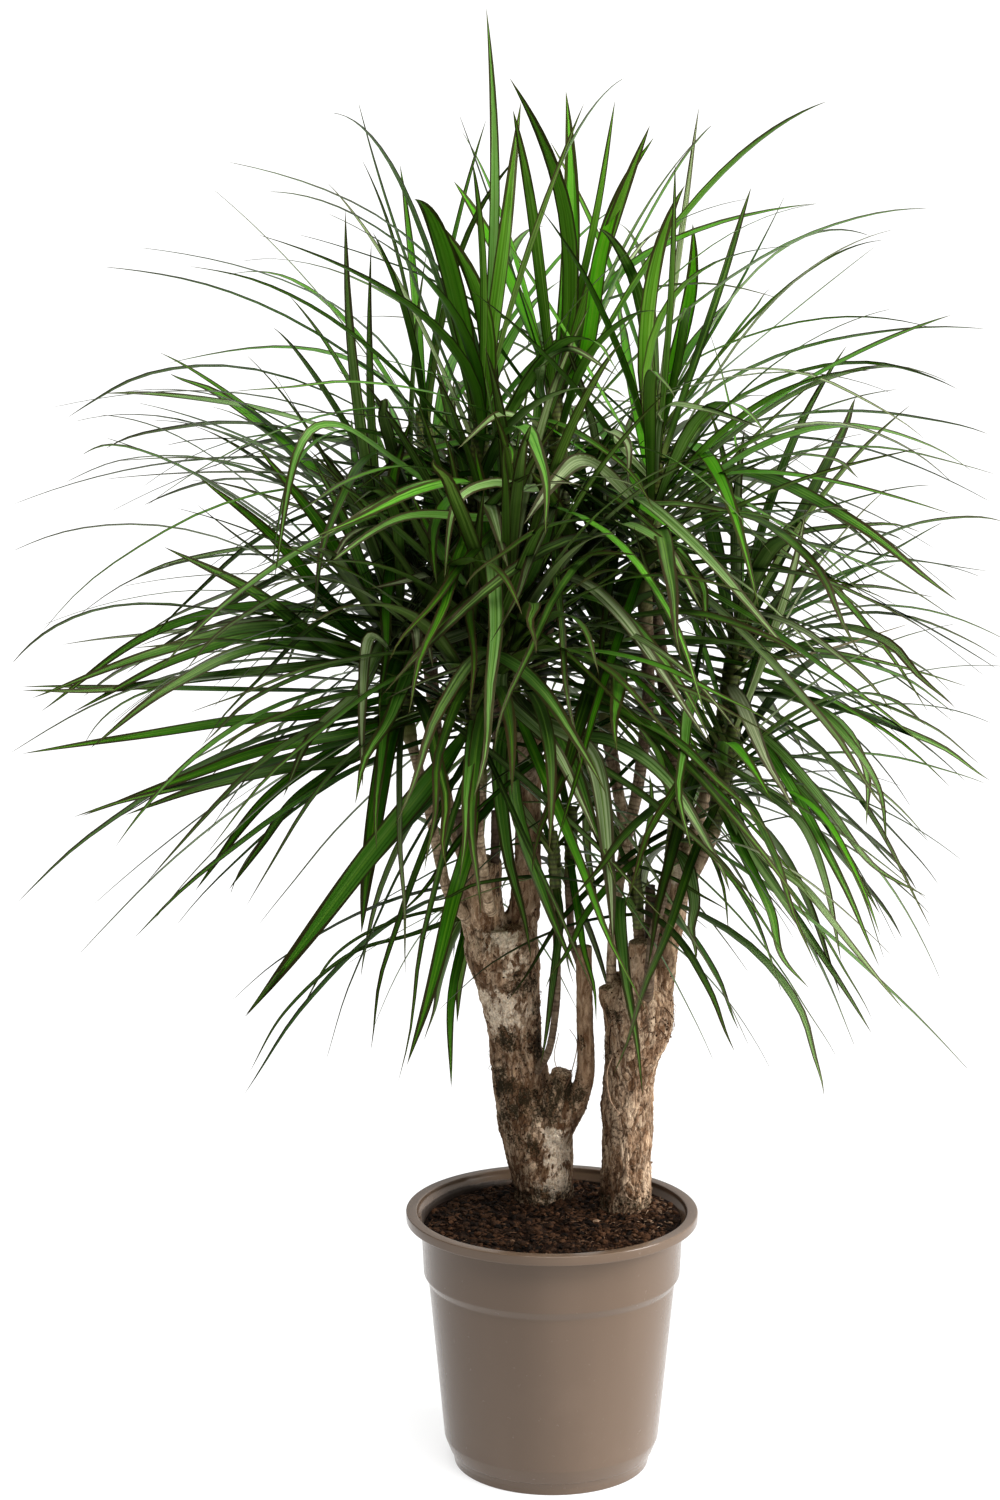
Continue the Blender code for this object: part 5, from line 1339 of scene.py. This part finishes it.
# Leaves in front that fold over or arch: the head, how far up its stem the leaf starts, the leaf's width,
# # how strong its pale grey-green painted sheen is, and points (x, y, z) that its middle line runs through.
BENT_LEAVES = [
    ("leaves_left", 1.00, 0.013, 0.0, [(-0.146, -0.03, 0.86), (-0.143, -0.05, 0.92), (-0.125, -0.05, 0.98)]),
    ("leaves_front", 0.95, 0.014, 0.0, [(-0.075, -0.09, 0.83), (-0.105, -0.10, 0.88), (-0.125, -0.10, 0.92)]),
    ("leaves_front", 1.00, 0.015, 0.0, [(-0.055, -0.08, 0.86), (-0.062, -0.09, 0.91), (-0.070, -0.09, 0.96)]),
    ("leaves_front", 0.98, 0.013, 0.1, [(-0.020, -0.09, 0.85), (-0.002, -0.10, 0.91), (0.002, -0.10, 0.95)]),
    ("leaves_left", 0.85, 0.013, 0.0, [(-0.175, -0.04, 0.79), (-0.245, -0.06, 0.875), (-0.31, -0.07, 0.93)]),
    ("leaves_left", 0.75, 0.013, 0.1, [(-0.185, -0.05, 0.77), (-0.265, -0.07, 0.83), (-0.34, -0.08, 0.87)]),
    ("leaves_left", 0.95, 0.014, 0.0, [(-0.165, -0.05, 0.82), (-0.21, -0.07, 0.895), (-0.26, -0.08, 0.96)]),
    ("leaves_left", 0.90, 0.012, 0.1, [(-0.16, -0.07, 0.83), (-0.185, -0.09, 0.90), (-0.21, -0.10, 0.95)]),
    ("leaves_top", 0.60, 0.012, 0.7, [(-0.015, -0.10, 1.02), (0.01, -0.14, 1.045), (0.05, -0.17, 1.025)]),
    ("leaves_top", 0.30, 0.012, 0.5, [
        (-0.02, -0.12, 0.925), (-0.055, -0.17, 0.935), (-0.085, -0.20, 0.92), (-0.095, -0.21, 0.855)]),
    ("leaves_top_left", 0.60, 0.009, 0.8, [
        (-0.03, -0.10, 0.975), (-0.05, -0.15, 0.99), (-0.085, -0.19, 0.965)]),
    ("leaves_top_left", 0.40, 0.010, 0.4, [
        (-0.08, -0.12, 0.93), (-0.13, -0.19, 0.93), (-0.20, -0.25, 0.895)]),
    ("leaves_left", 0.25, 0.011, 0.0, [
        (-0.20, -0.06, 0.72), (-0.28, -0.07, 0.715), (-0.375, -0.07, 0.70), (-0.47, -0.07, 0.685)]),
    ("leaves_left", 0.55, 0.010, 0.2, [
        (-0.24, -0.03, 0.755), (-0.325, -0.03, 0.745), (-0.405, -0.03, 0.735), (-0.475, -0.03, 0.735)]),
    ("leaves_front_low", 0.60, 0.011, 0.0, [
        (-0.165, -0.09, 0.71), (-0.25, -0.10, 0.695), (-0.32, -0.10, 0.67), (-0.415, -0.10, 0.635)]),
    ("leaves_top", 0.95, 0.014, 0.0, [
        (0.026, -0.01, 1.03), (0.040, -0.03, 1.12), (0.060, -0.03, 1.18), (0.085, -0.03, 1.22)]),
    ("leaves_top", 0.10, 0.011, 0.3, [(-0.055, -0.12, 0.90), (-0.13, -0.20, 0.91), (-0.20, -0.26, 0.87)]),
    ("leaves_right", 0.50, 0.017, 0.9, [(0.03, -0.10, 0.945), (0.00, -0.15, 0.935), (-0.03, -0.18, 0.90)]),
    ("leaves_top_left", 0.50, 0.017, 0.8, [
        (-0.065, -0.10, 0.915), (-0.055, -0.15, 0.91), (-0.04, -0.17, 0.86)]),
    ("leaves_left", 0.90, 0.014, 0.9, [(-0.135, -0.08, 0.79), (-0.12, -0.13, 0.805), (-0.12, -0.14, 0.755)]),
    ("leaves_front", 0.90, 0.014, 0.7, [
        (-0.10, -0.10, 0.79), (-0.11, -0.145, 0.805), (-0.105, -0.16, 0.775)]),
    ("leaves_left", 0.70, 0.011, 0.7, [
        (-0.14, -0.10, 0.78), (-0.16, -0.15, 0.80), (-0.165, -0.17, 0.74), (-0.165, -0.17, 0.675)]),
    ("leaves_right", 0.80, 0.011, 0.8, [(0.045, -0.10, 0.97), (0.06, -0.14, 0.965), (0.06, -0.15, 0.93)]),
    ("leaves_right", 0.30, 0.012, 0.5, [(0.07, -0.10, 0.915), (0.12, -0.19, 0.88), (0.195, -0.27, 0.80)]),
    ("leaves_right", 0.20, 0.013, 0.4, [(0.055, -0.12, 0.895), (0.09, -0.20, 0.885), (0.12, -0.23, 0.835)]),
    ("leaves_front", 0.80, 0.014, 0.8, [(0.00, -0.10, 0.845), (0.05, -0.19, 0.83), (0.125, -0.27, 0.73)]),
    ("leaves_right", 0.70, 0.010, 0.7, [(0.09, -0.08, 0.985), (0.12, -0.14, 0.995), (0.17, -0.22, 0.985)]),
    ("leaves_top_left", 0.20, 0.010, 0.3, [
        (-0.135, -0.10, 0.945), (-0.185, -0.18, 0.985), (-0.215, -0.21, 0.965), (-0.235, -0.22, 0.86)]),
    ("leaves_left", 0.80, 0.009, 0.9, [(-0.11, -0.06, 0.84), (-0.13, -0.12, 0.845), (-0.16, -0.16, 0.845)]),
    ("leaves_front", 0.60, 0.013, 0.6, [
        (-0.045, -0.14, 0.75), (-0.005, -0.21, 0.72), (0.02, -0.23, 0.675), (0.035, -0.23, 0.64)]),
    ("leaves_front", 0.30, 0.017, 0.7, [
        (-0.015, -0.12, 0.725), (0.03, -0.175, 0.70), (0.045, -0.18, 0.605), (0.05, -0.17, 0.535)]),
    ("leaves_front", 0.15, 0.014, 0.3, [
        (-0.01, -0.10, 0.705), (0.045, -0.14, 0.71), (0.095, -0.16, 0.68), (0.138, -0.16, 0.61),
        (0.150, -0.16, 0.58)]),
    ("leaves_left", 0.45, 0.012, 0.2, [(-0.24, -0.05, 0.795), (-0.35, -0.07, 0.775), (-0.46, -0.07, 0.735)]),
    ("leaves_left", 0.35, 0.012, 0.1, [(-0.23, -0.02, 0.785), (-0.33, -0.03, 0.765), (-0.43, -0.03, 0.715)]),
    ("leaves_left", 0.55, 0.012, 0.2, [(-0.25, -0.09, 0.785), (-0.33, -0.13, 0.755), (-0.40, -0.15, 0.705)]),
    ("leaves_left", 0.50, 0.011, 0.1, [(-0.24, 0.04, 0.80), (-0.36, 0.06, 0.775), (-0.47, 0.06, 0.70)]),
    ("leaves_front_low", 0.45, 0.020, 0.1, [
        (-0.11, -0.10, 0.665), (-0.165, -0.13, 0.60), (-0.22, -0.14, 0.53), (-0.27, -0.14, 0.465)]),
    ("leaves_left", 0.10, 0.017, 0.0, [
        (-0.145, -0.06, 0.70), (-0.155, -0.09, 0.65), (-0.165, -0.10, 0.58), (-0.17, -0.10, 0.53)]),
    ("leaves_front_low", 0.15, 0.014, 0.0, [
        (-0.075, -0.08, 0.61), (-0.09, -0.11, 0.56), (-0.11, -0.12, 0.48), (-0.13, -0.12, 0.415)]),
    ("leaves_left", 0.05, 0.012, 0.2, [
        (-0.18, -0.04, 0.675), (-0.24, -0.06, 0.67), (-0.31, -0.07, 0.655), (-0.38, -0.07, 0.63)]),
    ("leaves_left", 0.12, 0.010, 0.1, [
        (-0.18, -0.03, 0.675), (-0.23, -0.05, 0.64), (-0.26, -0.06, 0.60), (-0.29, -0.06, 0.56)]),
    ("leaves_left", 0.18, 0.011, 0.0, [(-0.19, 0.00, 0.68), (-0.26, 0.00, 0.63), (-0.325, 0.00, 0.545)]),
    ("leaves_left", 0.60, 0.012, 0.3, [
        (-0.15, -0.08, 0.785), (-0.17, -0.12, 0.75), (-0.21, -0.14, 0.715), (-0.235, -0.14, 0.66)]),
    ("sprout_back", 0.10, 0.0035, 0.4, [(-0.14, 0.06, 0.505), (-0.20, 0.04, 0.475), (-0.235, 0.04, 0.42)]),
    ("sprout_back", 0.00, 0.0040, 0.3, [
        (-0.13, 0.08, 0.485), (-0.19, 0.08, 0.465), (-0.25, 0.08, 0.41), (-0.285, 0.08, 0.35)]),
    ("leaves_right_low", 0.35, 0.009, 0.5, [
        (0.18, -0.08, 0.60), (0.22, -0.10, 0.57), (0.26, -0.10, 0.52), (0.31, -0.10, 0.46)]),
    ("leaves_right_low", 0.60, 0.009, 0.4, [
        (0.19, -0.05, 0.645), (0.22, -0.07, 0.62), (0.24, -0.08, 0.57), (0.255, -0.08, 0.50)]),
    ("leaves_right_low", 0.70, 0.010, 0.2, [
        (0.20, -0.01, 0.66), (0.24, -0.03, 0.62), (0.275, -0.03, 0.565), (0.295, -0.03, 0.53)]),
    ("leaves_right_low", 0.20, 0.010, 0.1, [
        (0.17, -0.07, 0.59), (0.19, -0.10, 0.55), (0.20, -0.10, 0.51), (0.225, -0.10, 0.48)]),
    ("leaves_right_low", 0.30, 0.009, 0.3, [
        (0.17, -0.05, 0.60), (0.22, -0.07, 0.53), (0.26, -0.07, 0.47), (0.285, -0.07, 0.43)]),
    ("leaves_right_back", 0.20, 0.010, 0.3, [
        (0.20, -0.06, 0.685), (0.24, -0.09, 0.64), (0.28, -0.09, 0.59), (0.33, -0.09, 0.56)]),
    ("leaves_right_back", 0.50, 0.010, 0.2, [
        (0.21, -0.05, 0.735), (0.245, -0.10, 0.715), (0.28, -0.11, 0.665), (0.29, -0.11, 0.61)]),
]


class BentLeaf(Leaf):
    """A leaf whose middle line runs from its head through given points, its face turned to the front."""

    def __init__(self, head, share, width, points):
        root = head.foot.lerp(head.top, share)
        super().__init__(root, Vector(points[-1]), 0.0, width=width)
        knots = [(*root, 0)] + [(*point, 0) for point in points]
        self.route = [Vector(place[:3]) for place in smooth_route(knots, 0.003)]
        self.leading = True

    def point(self, t):
        place = t * (len(self.route) - 1)
        index = min(int(place), len(self.route) - 2)
        return self.route[index].lerp(self.route[index + 1], place - index)

    def frame(self, t):
        tangent = (self.point(min(t + 0.03, 1)) - self.point(max(t - 0.03, 0))).normalized()
        facing = Vector((0.15, -0.75, 0.65))
        side = tangent.cross(facing).normalized()
        return tangent, side, side.cross(tangent)


def leaf_blank(stations):
    """a thin leaf before it is bent: a four-sided sleeve one unit long, with its two margins, the midrib
    above and the keel below, mapped from margin to margin over and under"""
    bm = bmesh.new()
    ring, edges = first_ring(bm, 4, Matrix())
    for low, high in zip(stations, stations[1:]):
        ring, edges = next_ring(bm, edges)
        bmesh.ops.translate(bm, verts=ring, vec=(0, 0, high - low))
    bmesh.ops.pointmerge(bm, verts=ring, merge_co=(0, 0, 1))
    bmesh.ops.recalc_face_normals(bm, faces=bm.faces)
    layer = bm.loops.layers.uv.new("leaf_map")
    for face in bm.faces:
        face.smooth = True
        over = sum(vertex.co.y for vertex in face.verts) > 0
        for loop in face.loops:
            x, _, t = loop.vert.co
            u = (x + 1) / 2
            loop[layer].uv = (u if over else 1.0001 + 0.9998 * u, t)
    for edge in bm.edges:
        if all(abs(vertex.co.x) > 0.5 for vertex in edge.verts) and edge.calc_length() < 1:
            edge.smooth = False
    return mesh_of(bm, "leaf_blank")


def blade_width(leaf, t):
    """half the width of a real leaf: a narrow root, long nearly parallel sides and a drawn-out tip"""
    if t < 0.3:
        return (LEAF_ROOT_WIDTH + (leaf.width - LEAF_ROOT_WIDTH) * smooth_step(0, 0.3, t)) / 2
    return leaf.width / 2 * (1 - ((t - 0.3) / 0.7) ** 2.8)


class Habit:
    """the small ways in which one leaf differs from its neighbours, and the painted shade and light in its
    tone: darker low down and inside the crown, lighter at its top
    """

    def __init__(self, draw, leaf):
        chord = leaf.tip - leaf.root
        upright = smooth_step(0.35, 0.75, chord.z / chord.length)
        hanging = smooth_step(-0.2, -0.7, chord.z / chord.length)
        self.twist = math.radians(draw.uniform(-28, 28))
        self.wave = draw.uniform(-1, 1) * 0.005 * (1 - 0.6 * upright)
        self.beat = draw.uniform(0.8, 1.6)
        self.phase = draw.uniform(0, math.tau)
        self.curl = draw.uniform(-1, 1) * 0.005 * (1 - upright)
        self.fold = math.radians(draw.uniform(8, 20))
        self.slim = draw.uniform(0.80, 1.12) * (1 - 0.2 * upright) * (1 - 0.15 * hanging)
        for x, z, reach in AIRY_PLACES:
            self.slim *= 1 - 0.35 * smooth_step(reach, 0.3 * reach, nearest_spot(leaf, x, z))
        # painted shade: the lower a leaf's root, the darker its tone tends to be, leading leaves too
        shaded = smooth_step(0.98, 0.78, leaf.root.z)
        outer = smooth_step(0.15, 0.32, abs(leaf.tip.x))
        self.tone = 1.4 * draw.random() ** (1 + 1.2 * shaded) * (1 - 0.3 * outer)
        self.dry = draw.uniform(0.5, 1.0) if draw.random() < 0.012 else 0.0
        # painted sheen: about one leaf in eight gets a strong pale sheen, the rest a faint one, more of it
        # lower down
        pale = draw.random() < 0.13
        self.painted_sheen = draw.uniform(0.35, 0.9) if pale else draw.uniform(0.0, 0.12 + 0.15 * shaded)
        # painted light: leaves rooted at the crown's top get a lighter tone
        self.tone *= 1 + 0.3 * smooth_step(0.95, 1.05, leaf.root.z)
        # painted shade: leaves inside the crown's core, and low ones in front of the trunks, get a darker
        # tone and less sheen
        if leaf.root.z < 0.86 and abs(leaf.root.x + 0.02) < 0.10:
            self.tone, self.painted_sheen = 0.6 * self.tone, 0.6 * self.painted_sheen
        elif leaf.tip.z < 0.80 and abs(leaf.tip.x + 0.04) < 0.10:
            self.tone, self.painted_sheen = 0.7 * self.tone, 0.4 * self.painted_sheen
        if leaf.leading:
            self.slim = draw.uniform(0.78, 1.05) * (1 + upright * (0.2 - 0.4 * shaded))
            self.tone = draw.uniform(1.05, 1.6) * (1 - 0.6 * shaded)
            self.painted_sheen *= 1 - 0.8 * upright
        if leaf.tip.z > 1.30:
            self.slim, self.painted_sheen = 0.62, 0.35

    def ripple(self, t):
        """how far the leaf strays sideways: gently along its length, quicker in its thin end"""
        slow = self.wave * math.sin(self.beat * math.tau * t + self.phase) * t * (1.4 - t)
        return slow + self.curl * math.sin(2.6 * math.tau * t + self.phase) * smooth_step(0.55, 0.95, t)


def lay_leaf(bm, blank, leaf, habit, layers):
    """adds one thin leaf to a head's mesh, bent along its middle line"""
    start = len(bm.verts)
    bm.from_mesh(blank)
    bm.verts.ensure_lookup_table()
    for vertex in bm.verts[start:]:
        x, y, t = vertex.co
        tangent, side, face = leaf.frame(t)
        turn = Matrix.Rotation(habit.twist * t, 3, tangent)
        side, face = turn @ side, turn @ face
        width = blade_width(leaf, t) * (1 - (1 - habit.slim) * smooth_step(0, 0.2, t))
        raised = width * math.tan(habit.fold) * (1 - 0.5 * t)
        centre = leaf.point(t) + side * habit.ripple(t)
        if abs(x) > 0.5:
            vertex.co = centre + side * (width * x) + face * raised
        elif y > 0.5:
            vertex.co = centre
        else:
            vertex.co = centre - face * (BLADE * (1 - 0.6 * t) if t < 0.999 else 0)
        for layer, value in zip(layers, (habit.tone, habit.dry, habit.painted_sheen)):
            vertex[layer] = value


def stem_points(head, share=1.0):
    """the leafy stem's points, at a share of its radius"""
    return [(*head.foot.lerp(head.top, s), head.radius * r * share) for s, r in STEM_SHAPE]


def leafy_stem(bm, head):
    """the slim stem inside a head, ringed by the sheaths of its leaves"""
    ring_layer = bm.verts.layers.float["ring"]
    first = len(bm.faces)
    rings = sweep(bm, ringed_route(stem_points(head, 0.92), STEM_RING, 0.10), CANE_SIDES)
    for i, ring in enumerate(rings):
        for vertex in ring:
            vertex[ring_layer] = float(i % 2)
    bm.faces.ensure_lookup_table()
    for face in bm.faces[first:]:
        face.smooth = True
        face.material_index = 1


def make_head(key, head, leaves, blank, bent_blank, mats):
    """one head of leaves on its stem"""
    bm = bmesh.new()
    bm.loops.layers.uv.new("leaf_map")
    number_layers(bm, [*LEAF_MARKS, "ring"])
    layers = [bm.verts.layers.float[name] for name in LEAF_MARKS]
    leafy_stem(bm, head)
    bmesh.ops.recalc_face_normals(bm, faces=bm.faces)
    for index, leaf in enumerate(leaves):
        lay_leaf(bm, blank, leaf, Habit(Random("%s habit %d" % (key, index)), leaf), layers)
    for index, (owner, share, width, painted_sheen, points) in enumerate(BENT_LEAVES):
        if owner == key:
            leaf = BentLeaf(head, share, width, points)
            habit = Habit(Random("bent %d" % index), leaf)
            habit.slim, habit.painted_sheen, habit.dry = 1.0, 0.75 * painted_sheen, 0.0
            habit.tone *= 1 - 0.6 * painted_sheen
            habit.twist, habit.curl, habit.wave = 0.4 * habit.twist, 0.0, 0.3 * habit.wave
            lay_leaf(bm, bent_blank, leaf, habit, layers)
    piece = new_piece("head_" + key, bm, mats)
    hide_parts(key)


def mesh_parts(obj):
    return [tuple(v.co) for v in obj.data.vertices], [tuple(p.vertices) for p in obj.data.polygons]


def stem_parts(head):
    """the solid leafy stem, which the leaves of other heads stay clear of"""
    bm = bmesh.new()
    sweep(bm, stem_points(head), 6)
    bm.verts.index_update()
    places = [vertex.co.copy() for vertex in bm.verts]
    faces = [tuple(vertex.index for vertex in face.verts) for face in bm.faces]
    bm.free()
    return places, faces


def make_leaves():
    """every head of leaves"""
    thicket = Thicket()
    for node in WOODY:
        thicket.add(node, *mesh_parts(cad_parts[node]))
    for key, head in HEADS.items():
        thicket.add(key, *stem_parts(head))
    grown = grow_leaves(thicket, Blank(STRAIGHT_CUTS), Blank(ARCHED_CUTS))
    blank, bent_blank = leaf_blank(STATIONS), leaf_blank(BENT_STATIONS)
    mats = [leaf_finish(), stem_finish()]
    for key, leaves in grown.items():
        make_head(key, HEADS[key], leaves, blank, bent_blank, mats)


# Studio

WHITE = (1, 1, 1, 1)
FLOOR_RADIUS = 9
SHADE = 0.045                   # light from all sides, and what the surround adds along each axis
SURROUND = (("X", -0.1, 0.5, 0.48), ("Y", 0.2, 0.9, 0.34), ("Z", 0.1, 0.9, 0.55))
CAMERA_PLACE = (-0.048, -3.0, 1.2405)
CAMERA_DIP = 10.667             # degrees that the camera looks down by
SENSOR_HEIGHT = 36
LENS = 81.23


def floor_finish():
    """matt white, which glows evenly white further out, as a curved studio backdrop does"""
    mat, shader = finish_of("pale_floor", 0.9, 0.1)
    shader.inputs["Base Color"].default_value = (0.93, 0.93, 0.93, 1)
    distance = step(mat, "VectorMath", {0: place_of(mat)}, operation="LENGTH").outputs["Value"]
    glow = step(mat, "Emission", {"Color": WHITE, "Strength": 1.0})
    show_mix(mat, ramp_of(mat, distance, 0.05, 0.50, 0.55, 1.0), shader, glow)
    return mat


def area_light(name, place, aim, width, height, power):
    data = bpy.data.lights.new(name, "AREA")
    data.shape = "RECTANGLE"
    data.size, data.size_y = width, height
    data.energy = power
    lamp = linked(name, data)
    lamp.location = place
    lamp.rotation_euler = (Vector(aim) - Vector(place)).to_track_quat("-Z", "Y").to_euler()


def make_studio():
    """a pale floor, a white surround and soft lights from the right and the front"""
    bm = bmesh.new()
    bmesh.ops.create_circle(bm, cap_ends=True, segments=96, radius=FLOOR_RADIUS)
    floor = linked("floor", mesh_of(bm, "floor"))
    floor.data.materials.append(floor_finish())
    make_surround()
    area_light("side_box", (2.45, -0.75, 1.2), (0, 0, 0.6), 1.2, 2.4, 98)
    area_light("top_box", (0.15, -1.3, 3.1), (0, 0, 0.8), 2.0, 2.0, 100)
    bpy.context.scene.view_settings.view_transform = "Standard"
    bpy.context.scene.view_settings.look = "Medium High Contrast"


def make_surround():
    """a white surround, dimmer on the left and in front of the pot than above, behind and on the right"""
    world = bpy.data.worlds.new("surround")
    world.use_nodes = True
    direction = step(world, "SeparateXYZ", {0: step(world, "TexCoord").outputs["Generated"]})
    total = SHADE
    for axis, low, high, gain in SURROUND:
        part = ramp_of(world, direction.outputs[axis], low, high, 0.0, gain)
        total = maths(world, "ADD", part, total)
    dim = world.node_tree.nodes["Background"]
    dim.inputs["Color"].default_value = WHITE
    join(world, total, dim.inputs["Strength"])
    seen = step(world, "LightPath").outputs["Is Camera Ray"]
    show_mix(world, seen, dim, step(world, "Background", {"Color": WHITE}), "World Output")
    bpy.context.scene.world = world


def make_camera():
    """the photograph's viewing angle: 3 m in front of the pot, a little above it"""
    data = bpy.data.cameras.new("camera")
    data.sensor_fit = "VERTICAL"
    data.sensor_height = SENSOR_HEIGHT
    data.lens = LENS
    camera = linked("camera", data)
    camera.location = CAMERA_PLACE
    camera.rotation_euler = (math.radians(90 - CAMERA_DIP), 0, 0)
    bpy.context.scene.camera = camera


make_camera()
make_studio()
make_pot()
make_soil()
make_soil_bits()
bark_mat, cane_mat = bark_finish(), cane_finish()
bark_left = make_bark("bark_left", TRUNK_LEFT, LIMBS_LEFT, "trunk_left", bark_mat)
bark_right = make_bark("bark_right", TRUNK_RIGHT, LIMBS_RIGHT, "trunk_right", bark_mat)
make_bark_bits("bits_left", bark_left)
make_bark_bits("bits_right", bark_right)
make_rootlets()
make_canes("canes_left", "left", LIMBS_LEFT, "trunk_left", cane_mat)
make_canes("canes_right", "right", LIMBS_RIGHT, "trunk_right", cane_mat)
make_leaves()
